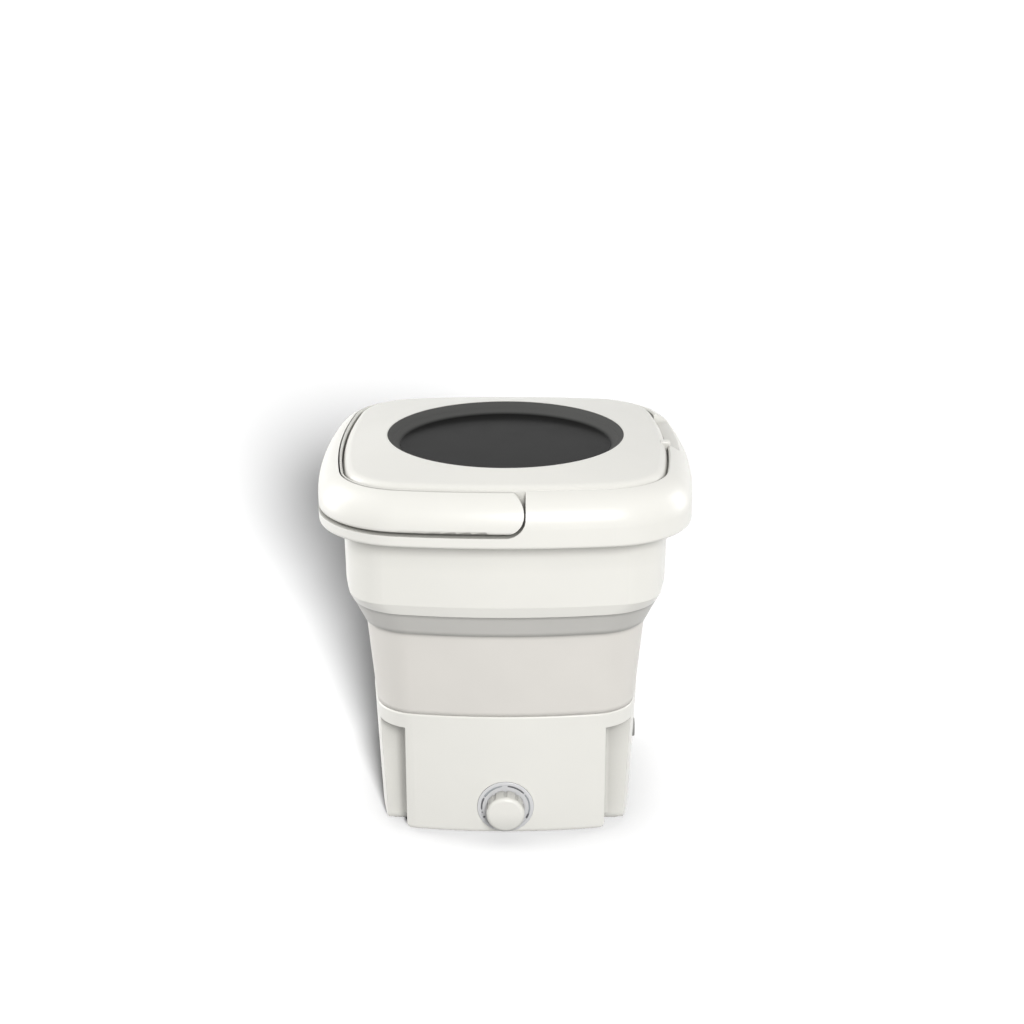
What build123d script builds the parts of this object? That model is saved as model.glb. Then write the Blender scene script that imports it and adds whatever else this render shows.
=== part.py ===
from build123d import *
import os
from math import asin, atan, atan2, cos, sin, sqrt

# Foldable washing machine, millimetres. The origin is on the floor, under the middle of the tub.
# The front with the timer knob faces -Y, and the carry handle is the -X half of the rim.

# Heights above the floor
foot_height = 2.0
channel_top_z = 94.0
ledge_z = 107.0
shoulder_z = 179.0
collar_low_z = 198.6
collar_edge_z = 207.6
rim_low_z = 262.0
rim_high_z = 303.4
lid_rise = 5.6
lid_high_z = rim_high_z + lid_rise

# Plan shapes: half-width at mid side, corner radius, radius of the bulging sides
rim_half = 150.0
rim_corner = 72.0
rim_bow = 610.0
rim_overhang = 19.8
collar_half = rim_half - rim_overhang
collar_corner = 34.0
collar_bow = 510.0
collar_bevel = 3.0
collar_foot_half = collar_half - collar_bevel
collar_foot_corner = 48.0
collar_foot_bow = 480.0
shoulder_slope = 10.1
shoulder_half = collar_foot_half - shoulder_slope
wall_slope = 7.7
ledge_half = shoulder_half - wall_slope
ledge_corner = 36.0
ledge_bow = 440.0
bowl_margin = 11.4
bowl_half = ledge_half - bowl_margin
bowl_corner = 82.0
bowl_bow = 428.0
base_draft = 5.2
collar_draft = 1.2
bowl_draft = 4.0

# Walls and clearances
wall = 2.6
soft_wall = 2.4
soft_inset = 0.8
cuff_wall = 2.0
cuff_height = 15.4
clamp_wall = 2.2
collar_step = 4.0
body_gap = 0.3
seat_gap = 0.2
fit_gap = 0.05
bore_gap = 0.02

# Rim
rim_round = 26.0
rim_foot_round = 2.5
rim_bevel = 2.5
lid_well_inset = 19.3
lip_wall = 1.8
inner_wall = 3.8
mouth_lip = 6.7
well_depth = 9.8
seat_z = rim_high_z - well_depth
seat_thick = 2.5
flange_recess = 2.2
scoop_front_y = -14.0
scoop_back_y = 80.0
scoop_depth = 7.6
scoop_rise = 3.1
scoop_round = 9.0

# Lid and window
lid_gap = 1.1
lid_round = 8.0
lid_edge_rise = 1.8
lid_dome_margin = 2.0
lid_wall = 2.4
gasket_height = 2.2
lid_margin = 54.6
window_radius = rim_half - lid_margin
window_bevel_width = 4.2
window_bevel_radius = window_radius - window_bevel_width
window_flare = 10.5
window_floor_radius = window_radius - window_flare
window_depth = 8.8
window_wall = 2.2
window_edge = 6.0
window_sink = 0.3
window_bevel = 0.8
window_bevel_drop = 3.8
window_step = 1.4
window_ledge = 3.2
window_gasket_height = 0.6
lid_rib_count = 12
tab_length = 7.5
tab_reach = 3.0
tab_height = 8.0
tab_round = 1.5
lid_rib_thick = 1.6

# Carry handle
handle_height = 30.2
handle_low_z = rim_high_z - handle_height
handle_thick = 16.2
handle_plate = 2.0
handle_foot_round = 3.0
handle_end_gap = 1.2
handle_foot_gap = 2.4
pivot_x = -1.0
pivot_pin_radius = 3.0
pivot_boss_radius = 5.0
pivot_head_radius = 4.5
pivot_head_height = 1.5

# Base shell and bottom cover
channel_margin = 29.4
channel_half = ledge_half - channel_margin
channel_round = 4.0
base_foot_round = 4.0
base_top_round = 1.4
panel_foot_round = 6.0
cover_thick = 2.4
cover_inset = 8.2
cover_lap = 6.0
foot_radius = 8.0
foot_margin = 22.0
foot_spread = channel_half - foot_margin
foot_pocket = 1.2
foot_chamfer = 0.6
cover_screw_x = 50.0
vent_length = 26.0
vent_width = 3.0
vent_pitch = 7.0
vent_count = 6

# Tub pan
pan_wall = 2.4
pan_top_z = 106.0
pan_floor_z = 60.0
bowl_round = 8.0

# Timer dial, knob and switch
dial_z = 26.3
dial_radius = 22.6
dial_thick = 1.6
dial_sink = 0.8
dial_round = 0.6
dial_groove_radius = 19.3
dial_groove_width = 0.6
nut_radius = 7.0
nut_thick = 2.0
knob_radius = 15.4
knob_face_radius = 15.2
knob_length = 14.6
knob_lift = 0.4
knob_round = 3.0
knob_wall = 1.8
groove_count = 10
groove_radius = 1.7
groove_stop = 4.9
switch_size = 24.0
switch_depth = 15.0
switch_shaft_radius = 3.0
bushing_radius = 4.5

# Drive
shaft_radius = 4.0
bearing_radius = 11.0
bearing_width = 7.0
bearing_rim = 2.2
lower_bearing_z = 31.0
upper_bearing_z = 46.0
seal_height = 4.0
housing_low_z = 30.0
housing_radius = 15.5
housing_flange_radius = 28.0
housing_flange_thick = 2.6
housing_screw_radius = 22.5
housing_rib_thick = 2.4
pulsator_margin = 23.0
pulsator_radius = bowl_half - pulsator_margin
pulsator_low_z = 66.0
pulsator_edge = 3.0
pulsator_crown_z = 80.0
pulsator_hub_radius = 10.0
cap_radius = 8.0
fin_count = 6
fin_width = 10.0
fin_inner_radius = 19.0
fin_margin = 10.0
fin_high_z = 85.0
fin_taper = 14.0
fin_round = 0.6
hole_margin = 17.0
hole_count = 6
hole_radius = 2.0
hub_collar_radius = 10.4
pulley_low_z = 14.0
pulley_height = 9.0
pulley_flange = 2.0
driven_pulley_radius = 33.0
motor_pulley_radius = 9.0
belt_thick = 1.6
motor_margin = 38.0
motor_y = bowl_half - motor_margin
motor_radius = 24.0
motor_height = 27.0
motor_shaft_radius = 2.5
bracket_low_z = 25.0
bracket_thick = 2.0
post_radius = 4.0
post_x = 31.0
post_y = 19.0
motor_boss_radius = 6.0
motor_screw_x = 12.5

# Drain and power inlet
drain_margin = 25.0
drain_x = bowl_half - drain_margin
drain_z = 48.0
drain_radius = 8.0
drain_bore_radius = 6.0
plug_radius = 8.0
plug_thick = 2.4
plug_stem = 10.0
plug_round = 0.8
drain_nut_radius = 11.5
drain_nut_thick = 3.0
strainer_thick = 1.4
inlet_x = -45.0
inlet_z = 30.0
inlet_radius = 5.5
inlet_depth = 14.0
inlet_flange_thick = 1.5
inlet_pin_radius = 1.0

# Control board
board_margin = 11.0
board_x = board_margin - channel_half
board_width = 36.0
board_length = 64.0
board_low_z = 10.0
board_thick = 1.6
board_blocks = (
    # x, y, width, length, height
    (-6.0, -14.0, 15.0, 19.0, 15.0),
    (7.0, 4.0, 8.0, 8.0, 1.6),
    (-6.0, 16.0, 12.0, 7.0, 8.0),
    (9.0, 18.0, 7.0, 12.0, 7.0),
)
board_can = (8.0, -16.0, 5.0, 14.0)

# Screws
screw_radius = 1.5
screw_head_radius = 2.8
screw_head_height = 1.8
screw_slot = 0.8
screw_boss_radius = 3.4


on_end = (Align.CENTER, Align.CENTER, Align.MIN)


def inset(plan, gap):
    """Move every side of a plan inwards by gap."""
    half, corner, bow = plan
    return (half - gap, corner - gap, bow - gap)


def blend(low, high, share):
    """The plan that lies a share of the way from low to high."""
    return tuple(a + (b - a) * share for a, b in zip(low, high))


def side_y(plan, x):
    """Distance from the middle to the bulging side, at x along that side."""
    half, corner, bow = plan
    return sqrt(bow**2 - x**2) - (bow - half)


def bowed_square(plan):
    """Draw a square with bulging sides and round corners in the open line block."""
    half, corner, bow = plan
    centre = bow - half
    reach = bow - corner
    nook = (sqrt(2 * reach**2 - centre**2) - centre) / 2
    lean = atan2(nook, centre + nook)
    near = bow * sin(lean)
    far = bow * cos(lean) - centre
    tip = nook + corner / sqrt(2)
    for turn in (0, 90, 180, 270):
        start, middle, end, bend, onward = [
            Vector(*point).rotate(Axis.Z, turn)
            for point in ((-near, -far), (0, -half), (near, -far), (tip, -tip), (far, -near))
        ]
        ThreePointArc(start, middle, end)
        ThreePointArc(end, bend, onward)


def prism(plan, low, high):
    """A straight block of one plan between two heights."""
    with BuildPart() as block:
        with BuildSketch(Plane.XY.offset(low)):
            with BuildLine():
                bowed_square(plan)
            make_face()
        extrude(amount=high - low)
    return block.part


def taper(low_plan, low, high_plan, high):
    """A block that changes from one plan to another between two heights."""
    with BuildPart() as block:
        for plan, level in ((low_plan, low), (high_plan, high)):
            with BuildSketch(Plane.XY.offset(level)):
                with BuildLine():
                    bowed_square(plan)
                make_face()
        loft(ruled=True)
    return block.part


def tray(low_plan, low, high_plan, high, foot_round):
    """A tapered block with a rounded lower edge."""
    with BuildPart() as block:
        add(taper(low_plan, low, high_plan, high))
        fillet(block.edges().group_by(Axis.Z)[0], radius=foot_round)
    return block.part


def crown(plan, low, high, top_round):
    """A straight block with a rounded upper edge."""
    with BuildPart() as block:
        add(prism(plan, low, high))
        fillet(block.edges().group_by(Axis.Z)[-1], radius=top_round)
    return block.part


def corner_columns(half, low, high):
    """Four square columns that fill the corners where X and Y both pass half."""
    span = rim_half
    with BuildPart() as columns:
        with BuildSketch(Plane.XY.offset(low)):
            with GridLocations(2 * half + span, 2 * half + span, 2, 2):
                Rectangle(span, span)
        extrude(amount=high - low)
    return columns.part


def cross_prism(plan, half, low, high):
    """A straight block of one plan, its corners cut off square at half."""
    with BuildPart() as block:
        add(prism(plan, low, high))
        add(corner_columns(half, low - 1, high + 1), mode=Mode.SUBTRACT)
    return block.part


def half_block(edge_x, low, high, side):
    """A block that fills the space on one side of the plane X = edge_x."""
    span = 2 * rim_half
    with BuildPart() as block:
        with BuildSketch(Plane.XY.offset(low)):
            with Locations((edge_x + side * span / 2, 0)):
                Rectangle(span, 2 * span)
        extrude(amount=high - low)
    return block.part


def handle_profile(gap):
    """The handle seen from the front, grown by gap: a bar with a round end at the pivot."""
    radius = (rim_high_z - handle_low_z) / 2 + gap
    with BuildPart() as block:
        with BuildSketch(Plane.XZ):
            with Locations((pivot_x, pivot_z)):
                Circle(radius)
            with Locations((pivot_x - rim_half, pivot_z)):
                Rectangle(2 * rim_half, 2 * radius)
        extrude(amount=2 * rim_half, both=True)
    return block.part


def screws(points, head_z, length, way):
    """A set of like screws with heads at head_z, whose shanks run up (1) or down (-1)."""
    towards = Align.MIN if way > 0 else Align.MAX
    with BuildPart() as fasteners:
        with Locations([(x, y, head_z) for x, y in points]):
            Cylinder(screw_head_radius, screw_head_height, align=(Align.CENTER, Align.CENTER, towards))
            Cylinder(screw_radius, length, align=(Align.CENTER, Align.CENTER, towards))
            Box(1.4 * screw_head_radius, screw_slot, 2 * screw_slot, mode=Mode.SUBTRACT)
            Box(screw_slot, 1.4 * screw_head_radius, 2 * screw_slot, mode=Mode.SUBTRACT)
    return fasteners.part


def posts(points, radius, low, high):
    """A set of like round posts between two heights."""
    with BuildPart() as block:
        with Locations([(x, y, low) for x, y in points]):
            Cylinder(radius, high - low, align=(Align.CENTER, Align.CENTER, Align.MIN))
    return block.part


def mirrored_points(near, far):
    """Eight places, two on each side, near along the side and far from the middle."""
    return [
        point
        for a in (-near, near)
        for b in (-far, far)
        for point in ((a, b), (b, a))
    ]


# Plans of the main pieces
rim_plan = (rim_half, rim_corner, rim_bow)
rim_skin = inset(rim_plan, wall)
well_plan = inset(rim_plan, lid_well_inset)
core_plan = inset(well_plan, -lip_wall)
mouth_plan = inset(well_plan, mouth_lip)
rim_bore_plan = inset(core_plan, inner_wall)
handle_plan = inset(rim_plan, handle_thick)
lid_plan = inset(well_plan, lid_gap)
lid_edge_z = rim_high_z + lid_edge_rise
lid_dome_radius = window_radius + lid_dome_margin
lid_dome_plan = (lid_dome_radius, lid_dome_radius - 1, lid_dome_radius + 1)
collar_plan = (collar_half, collar_corner, collar_bow)
collar_top_plan = inset(collar_plan, -collar_draft)
collar_foot_plan = (collar_foot_half, collar_foot_corner, collar_foot_bow)
ledge_plan = (ledge_half, ledge_corner, ledge_bow)
bowl_plan = (bowl_half, bowl_corner, bowl_bow)


def base_plan(z, gap=0.0):
    """The base's outer plan at a height, drawn in by gap."""
    return inset(ledge_plan, base_draft * (ledge_z - z) / (ledge_z - foot_height) + gap)


# Rim cover: hollow on its right, with a recess for the handle on its left
pivot_z = (handle_low_z + rim_high_z) / 2
recess_floor_z = handle_low_z - handle_foot_gap
recess_end_x = pivot_x + rim_high_z - pivot_z + handle_end_gap
flange_low_z = rim_low_z + flange_recess
flange_high_z = flange_low_z + wall
rim_inside_low_z = flange_high_z + fit_gap
scoop_low_z = rim_high_z - scoop_depth
rim_screw_x = 60.0
rim_screw_inset = 10.0
rim_screw_points = mirrored_points(rim_screw_x, side_y(inset(rim_plan, rim_screw_inset), rim_screw_x))
pivot_face_y = mouth_plan[0] - 0.5
pivot_spacer_y = handle_plan[0] - body_gap

with BuildPart() as rim_cavity:
    add(crown(rim_skin, rim_low_z, rim_high_z - wall, rim_round - wall))
    add(half_block(recess_end_x + wall, rim_low_z, rim_high_z, -1), mode=Mode.SUBTRACT)
    add(prism(rim_skin, rim_low_z, recess_floor_z - wall))
    add(prism(core_plan, rim_low_z, rim_high_z), mode=Mode.SUBTRACT)
    with BuildSketch(Plane.XY.offset(scoop_low_z - wall)):
        with Locations((rim_half, (scoop_front_y + scoop_back_y) / 2)):
            Rectangle(rim_half, scoop_back_y - scoop_front_y + 2 * wall)
    extrude(amount=scoop_depth + wall, mode=Mode.SUBTRACT)

with BuildPart() as rim_bosses:
    add(posts(rim_screw_points, screw_boss_radius, rim_inside_low_z, rim_high_z - wall / 2))
    add(
        crown(inset(rim_plan, wall / 2), rim_low_z, rim_high_z - wall / 2, rim_round),
        mode=Mode.INTERSECT,
    )

with BuildPart() as handle_recess:
    with BuildSketch(Plane.XZ) as recess_outline:
        with Locations((recess_end_x - rim_half, recess_floor_z + rim_half)):
            Rectangle(2 * rim_half, 2 * rim_half)
        fillet(
            recess_outline.vertices().group_by(Axis.Y)[0].sort_by(Axis.X)[-1],
            radius=rim_high_z - pivot_z,
        )
    extrude(amount=2 * rim_half, both=True)
    add(prism(core_plan, rim_low_z, rim_high_z + 2 * rim_half), mode=Mode.SUBTRACT)

scoop_lean = atan(scoop_rise / (rim_half - mouth_plan[0]))
scoop_plane = Plane(
    origin=(mouth_plan[0], 0, scoop_low_z),
    x_dir=(0, 1, 0),
    z_dir=(cos(scoop_lean), 0, sin(scoop_lean)),
)
with BuildPart() as finger_scoop:
    with BuildSketch(scoop_plane) as scoop_outline:
        with Locations(((scoop_front_y + scoop_back_y) / 2, scoop_depth)):
            Rectangle(scoop_back_y - scoop_front_y, 2 * scoop_depth)
        fillet(
            scoop_outline.vertices().group_by(Axis.Y)[0].sort_by(Axis.X)[-1],
            radius=scoop_round,
        )
    extrude(amount=rim_half - mouth_plan[0] + wall)

with BuildPart() as rim_cover:
    add(crown(rim_plan, rim_low_z, rim_high_z, rim_round))
    fillet(rim_cover.edges().group_by(Axis.Z)[0], radius=rim_foot_round)
    add(rim_cavity.part, mode=Mode.SUBTRACT)
    add(prism(rim_skin, rim_low_z, rim_inside_low_z), mode=Mode.SUBTRACT)
    add(prism(rim_bore_plan, rim_low_z, seat_z - seat_thick), mode=Mode.SUBTRACT)
    add(prism(mouth_plan, rim_low_z, seat_z), mode=Mode.SUBTRACT)
    add(prism(well_plan, seat_z, rim_high_z), mode=Mode.SUBTRACT)
    add(
        taper(well_plan, rim_high_z - rim_bevel, inset(well_plan, -rim_bevel), rim_high_z),
        mode=Mode.SUBTRACT,
    )
    add(rim_bosses.part)
    add(handle_recess.part, mode=Mode.SUBTRACT)
    add(finger_scoop.part, mode=Mode.SUBTRACT)
    add(
        posts(rim_screw_points, screw_radius + bore_gap, rim_inside_low_z, recess_floor_z - 1),
        mode=Mode.SUBTRACT,
    )
    for lean in (90, -90):
        with Locations(Location((pivot_x, 0, pivot_z), (lean, 0, 0))):
            with Locations((0, 0, pivot_face_y)):
                Cylinder(pivot_boss_radius, pivot_spacer_y - pivot_face_y, align=on_end)
                Cylinder(
                    pivot_pin_radius + bore_gap,
                    pivot_spacer_y - pivot_face_y,
                    align=on_end,
                    mode=Mode.SUBTRACT,
                )


# Rim screws, from below through the collar's flange
rim_screw_head_z = flange_low_z - screw_head_height
with BuildPart() as rim_screws:
    add(screws(rim_screw_points, rim_screw_head_z, recess_floor_z - 1.3 - rim_screw_head_z, 1))


# Carry handle: a hollow bail that swings up about two pins, and the plate that closes it
pin_tip_y = rim_half - 2 * wall - 0.8
plate_back_y = handle_plan[0] + handle_plate

with BuildPart() as handle_hollow:
    add(crown(rim_skin, handle_low_z + wall, rim_high_z - wall, rim_round - wall))
    add(handle_profile(-wall), mode=Mode.INTERSECT)

with BuildPart() as handle_bosses:
    for lean in (90, -90):
        with Locations(Location((pivot_x, 0, pivot_z), (lean, 0, 0))):
            with Locations((0, 0, plate_back_y + seat_gap)):
                Cylinder(pivot_boss_radius, rim_half - plate_back_y, align=on_end)
    add(
        crown(inset(rim_plan, wall / 2), handle_low_z, rim_high_z - wall / 2, rim_round),
        mode=Mode.INTERSECT,
    )

with BuildPart() as carry_handle:
    add(crown(rim_plan, handle_low_z, rim_high_z, rim_round))
    fillet(carry_handle.edges().group_by(Axis.Z)[0], radius=handle_foot_round)
    add(handle_profile(0), mode=Mode.INTERSECT)
    add(handle_hollow.part, mode=Mode.SUBTRACT)
    add(handle_bosses.part)
    add(prism(handle_plan, handle_low_z, rim_high_z), mode=Mode.SUBTRACT)
    for lean in (90, -90):
        with Locations(Location((pivot_x, 0, pivot_z), (lean, 0, 0))):
            Cylinder(pivot_pin_radius + fit_gap, pin_tip_y + body_gap, align=on_end, mode=Mode.SUBTRACT)

with BuildPart() as handle_inner_plate:
    add(prism(inset(handle_plan, -handle_plate), handle_low_z, rim_high_z))
    add(prism(handle_plan, handle_low_z, rim_high_z), mode=Mode.SUBTRACT)
    add(handle_profile(-wall - body_gap), mode=Mode.INTERSECT)
    add(
        crown(
            inset(rim_skin, body_gap),
            handle_low_z,
            rim_high_z - wall - body_gap,
            rim_round - wall - body_gap,
        ),
        mode=Mode.INTERSECT,
    )
    for lean in (90, -90):
        with Locations(Location((pivot_x, 0, pivot_z), (lean, 0, 0))):
            Cylinder(pivot_pin_radius + fit_gap, plate_back_y + wall, align=on_end, mode=Mode.SUBTRACT)

with BuildPart() as handle_pivot_pins:
    for lean in (90, -90):
        with Locations(Location((pivot_x, 0, pivot_z), (lean, 0, 0))):
            with Locations((0, 0, pivot_face_y - pivot_head_height)):
                Cylinder(pivot_head_radius, pivot_head_height, align=on_end)
                Cylinder(pivot_pin_radius, pin_tip_y - pivot_face_y + pivot_head_height, align=on_end)


# Upper collar, closed at its top by a flange under the rim
cuff_seat_z = collar_low_z + cuff_height + seat_gap
collar_step_z = cuff_seat_z + collar_step
collar_bore_plan = inset(collar_foot_plan, soft_wall)
collar_wall_plan = inset(collar_plan, wall)

with BuildPart() as upper_collar:
    add(taper(collar_foot_plan, collar_low_z, collar_plan, collar_edge_z))
    add(taper(collar_plan, collar_edge_z, collar_top_plan, flange_high_z))
    add(prism(inset(rim_skin, body_gap), flange_low_z, flange_high_z))
    add(prism(collar_bore_plan, collar_low_z, cuff_seat_z), mode=Mode.SUBTRACT)
    add(taper(collar_bore_plan, cuff_seat_z, collar_wall_plan, collar_step_z), mode=Mode.SUBTRACT)
    add(
        taper(collar_wall_plan, collar_step_z, inset(collar_top_plan, wall), flange_high_z),
        mode=Mode.SUBTRACT,
    )
    add(
        posts(rim_screw_points, screw_radius + fit_gap, flange_low_z, flange_high_z),
        mode=Mode.SUBTRACT,
    )


# Lid frame with its lift tab
lid_low_z = seat_z + seat_gap + gasket_height


def lid_form(gap):
    """The lid's outside, a tray with a rounded edge under a low dome, drawn in by gap."""
    dome_foot_plan = inset(lid_plan, lid_round + body_gap)
    with BuildPart() as block:
        add(crown(inset(lid_plan, gap), lid_low_z, lid_edge_z - gap, lid_round - gap))
        add(taper(dome_foot_plan, lid_edge_z - gap, lid_dome_plan, lid_high_z - gap))
    return block.part


window_seat_z = lid_high_z - window_edge
window_ledge_z = window_seat_z - window_gasket_height
window_ledge_radius = window_radius - window_ledge
hub_radius = window_radius + seat_gap + lid_wall
tab_front_y = scoop_front_y + 1.0

with BuildPart() as lid_ribs:
    with BuildSketch(Plane.XY.offset(window_ledge_z - lid_wall)):
        with PolarLocations(hub_radius + rim_half / 2 - lid_wall / 2, lid_rib_count, start_angle=15):
            Rectangle(rim_half, lid_rib_thick)
    extrude(amount=lid_high_z - window_ledge_z + lid_wall)
    add(lid_form(lid_wall / 2), mode=Mode.INTERSECT)

with BuildPart() as lift_tab:
    with Locations((lid_plan[0] + tab_reach, tab_front_y, lid_edge_z)):
        Box(tab_reach + 2 * lid_wall, tab_length, tab_height, align=(Align.MAX, Align.MIN, Align.MAX))
    fillet(lift_tab.edges(), radius=tab_round)

with BuildPart() as lid_frame:
    add(lid_form(0))
    add(lid_form(lid_wall), mode=Mode.SUBTRACT)
    add(lift_tab.part)
    add(lid_ribs.part)
    with Locations((0, 0, window_ledge_z - lid_wall)):
        Cylinder(hub_radius, lid_high_z - lid_wall / 2 - window_ledge_z + lid_wall, align=on_end)
        Cylinder(window_ledge_radius, rim_half, align=on_end, mode=Mode.SUBTRACT)
    with Locations((0, 0, window_ledge_z)):
        Cylinder(window_radius + seat_gap, rim_half, align=on_end, mode=Mode.SUBTRACT)


# Lid window: a dish with a flared wall
window_floor_z = lid_high_z - window_depth
window_high_z = lid_high_z - window_sink
window_bevel_z = window_high_z - window_bevel_drop

with BuildPart() as lid_window:
    with BuildSketch(Plane.XZ):
        with BuildLine():
            Polyline(
                (0, window_floor_z - window_wall),
                (window_floor_radius - 0.4 * window_wall, window_floor_z - window_wall),
                (window_ledge_radius - seat_gap, window_seat_z),
                (window_radius, window_seat_z),
                (window_radius, window_high_z),
                (window_radius - window_bevel, window_high_z),
                (window_bevel_radius, window_bevel_z),
                (window_bevel_radius - window_step, window_bevel_z - window_step / 3),
                (window_floor_radius, window_floor_z),
                (0, window_floor_z),
                close=True,
            )
        make_face()
    revolve(axis=Axis.Z)

with BuildPart() as window_gasket:
    with BuildSketch(Plane.XY.offset(window_ledge_z)):
        Circle(window_radius - fit_gap)
        Circle(window_ledge_radius + fit_gap, mode=Mode.SUBTRACT)
    extrude(amount=window_gasket_height)

with BuildPart() as lid_gasket:
    add(prism(inset(lid_plan, body_gap), lid_low_z - gasket_height, lid_low_z))
    add(
        prism(inset(lid_plan, body_gap + lid_wall), lid_low_z - gasket_height, lid_low_z),
        mode=Mode.SUBTRACT,
    )


# Folding wall: a soft cone with a cuff at each end, and the ring that holds its upper cuff
pan_shelf_z = channel_top_z + wall + fit_gap
soft_low_z = ledge_z + fit_gap
soft_high_z = collar_low_z - fit_gap
soft_foot_plan = inset(ledge_plan, soft_inset)
soft_shoulder_plan = inset(ledge_plan, ledge_half - shoulder_half)
soft_bore_foot = inset(soft_foot_plan, soft_wall)
soft_bore_shoulder = inset(soft_shoulder_plan, soft_wall)
soft_bore_top = inset(collar_foot_plan, soft_wall)
soft_lip_z = soft_high_z - soft_wall
lip_share = (soft_lip_z - shoulder_z) / (soft_high_z - shoulder_z)
upper_cuff_plan = inset(collar_bore_plan, body_gap)
upper_cuff_bore = inset(upper_cuff_plan, cuff_wall)
cuff_high_z = collar_low_z + cuff_height
lower_cuff_gap = wall + fit_gap
lower_bore_gap = lower_cuff_gap + cuff_wall

with BuildPart() as folding_wall:
    add(taper(soft_foot_plan, soft_low_z, soft_shoulder_plan, shoulder_z))
    add(taper(soft_shoulder_plan, shoulder_z, collar_foot_plan, soft_high_z))
    add(prism(upper_cuff_plan, soft_lip_z, cuff_high_z))
    add(
        taper(
            base_plan(pan_shelf_z, lower_cuff_gap),
            pan_shelf_z,
            base_plan(soft_low_z, lower_cuff_gap),
            soft_low_z,
        )
    )
    add(
        taper(
            base_plan(pan_shelf_z, lower_bore_gap),
            pan_shelf_z,
            base_plan(soft_low_z + soft_wall, lower_bore_gap),
            soft_low_z + soft_wall,
        ),
        mode=Mode.SUBTRACT,
    )
    add(
        taper(soft_bore_foot, soft_low_z + soft_wall, soft_bore_shoulder, shoulder_z),
        mode=Mode.SUBTRACT,
    )
    add(
        taper(
            soft_bore_shoulder,
            shoulder_z,
            blend(soft_bore_shoulder, soft_bore_top, lip_share),
            soft_lip_z,
        ),
        mode=Mode.SUBTRACT,
    )
    add(prism(upper_cuff_bore, soft_lip_z, cuff_high_z), mode=Mode.SUBTRACT)

with BuildPart() as upper_clamp_ring:
    add(prism(inset(upper_cuff_bore, body_gap), collar_low_z + seat_gap, cuff_high_z))
    add(
        prism(inset(upper_cuff_bore, body_gap + clamp_wall), collar_low_z, cuff_high_z),
        mode=Mode.SUBTRACT,
    )


# Base shell: four proud faces and four open corner channels
base_inner_z = foot_height + wall
cover_high_z = foot_height + cover_thick
cover_seat_z = cover_high_z + fit_gap
cover_half = channel_half - cover_lap
cover_screw_points = mirrored_points(
    cover_screw_x,
    side_y(inset(base_plan(foot_height), cover_inset + cover_lap / 2), cover_screw_x),
)
pan_screw_place = channel_half + channel_round + 0.5
pan_screw_points = [
    (x, y)
    for x in (-pan_screw_place, pan_screw_place)
    for y in (-pan_screw_place, pan_screw_place)
]
face_lean = atan(base_draft / (ledge_z - foot_height))
dial_plane = Plane(
    origin=(0, -base_plan(dial_z)[0], dial_z),
    x_dir=(1, 0, 0),
    z_dir=(0, -cos(face_lean), -sin(face_lean)),
)
inlet_turn = asin(inlet_x / base_plan(inlet_z)[2])
inlet_plane = Plane(
    origin=(inlet_x, side_y(base_plan(inlet_z), inlet_x), inlet_z),
    x_dir=(-cos(inlet_turn), sin(inlet_turn), 0),
    z_dir=(sin(inlet_turn) * cos(face_lean), cos(inlet_turn) * cos(face_lean), -sin(face_lean)),
)
drain_plane = Plane(origin=(base_plan(drain_z)[0], 0, drain_z), x_dir=(0, 1, 0), z_dir=(1, 0, 0))

with BuildPart() as base_faces:
    for face_plane in (Plane.XZ, Plane.YZ):
        with BuildSketch(face_plane) as face_outline:
            with Locations((0, (foot_height + ledge_z) / 2)):
                Rectangle(2 * channel_half, ledge_z - foot_height)
            fillet(face_outline.vertices().group_by(Axis.Y)[0], radius=panel_foot_round)
        extrude(amount=rim_half, both=True)
    with BuildSketch(Plane.XY.offset(channel_top_z)):
        Rectangle(2 * rim_half, 2 * rim_half)
    extrude(amount=ledge_z - channel_top_z)

nook = channel_half + channel_round
nook_middle = channel_half + channel_round / 2
with BuildPart() as channel_corners:
    with BuildSketch(Plane.XY.offset(foot_height + panel_foot_round)):
        with GridLocations(2 * nook_middle, 2 * nook_middle, 2, 2):
            Rectangle(channel_round, channel_round)
        with GridLocations(2 * nook, 2 * nook, 2, 2):
            Circle(channel_round, mode=Mode.SUBTRACT)
    extrude(amount=channel_top_z - foot_height - panel_foot_round)

with BuildPart() as base_hollow:
    add(
        tray(
            base_plan(base_inner_z, wall),
            base_inner_z,
            base_plan(ledge_z + wall, wall),
            ledge_z + wall,
            base_foot_round - wall,
        )
    )
    add(
        corner_columns(channel_half - wall, foot_height, channel_top_z + wall),
        mode=Mode.SUBTRACT,
    )

# The frame round the cover's edge, from its outside to the seat that takes the cover
cover_plan = base_plan(foot_height, cover_inset)
cover_frame_high_z = cover_seat_z + wall

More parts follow.
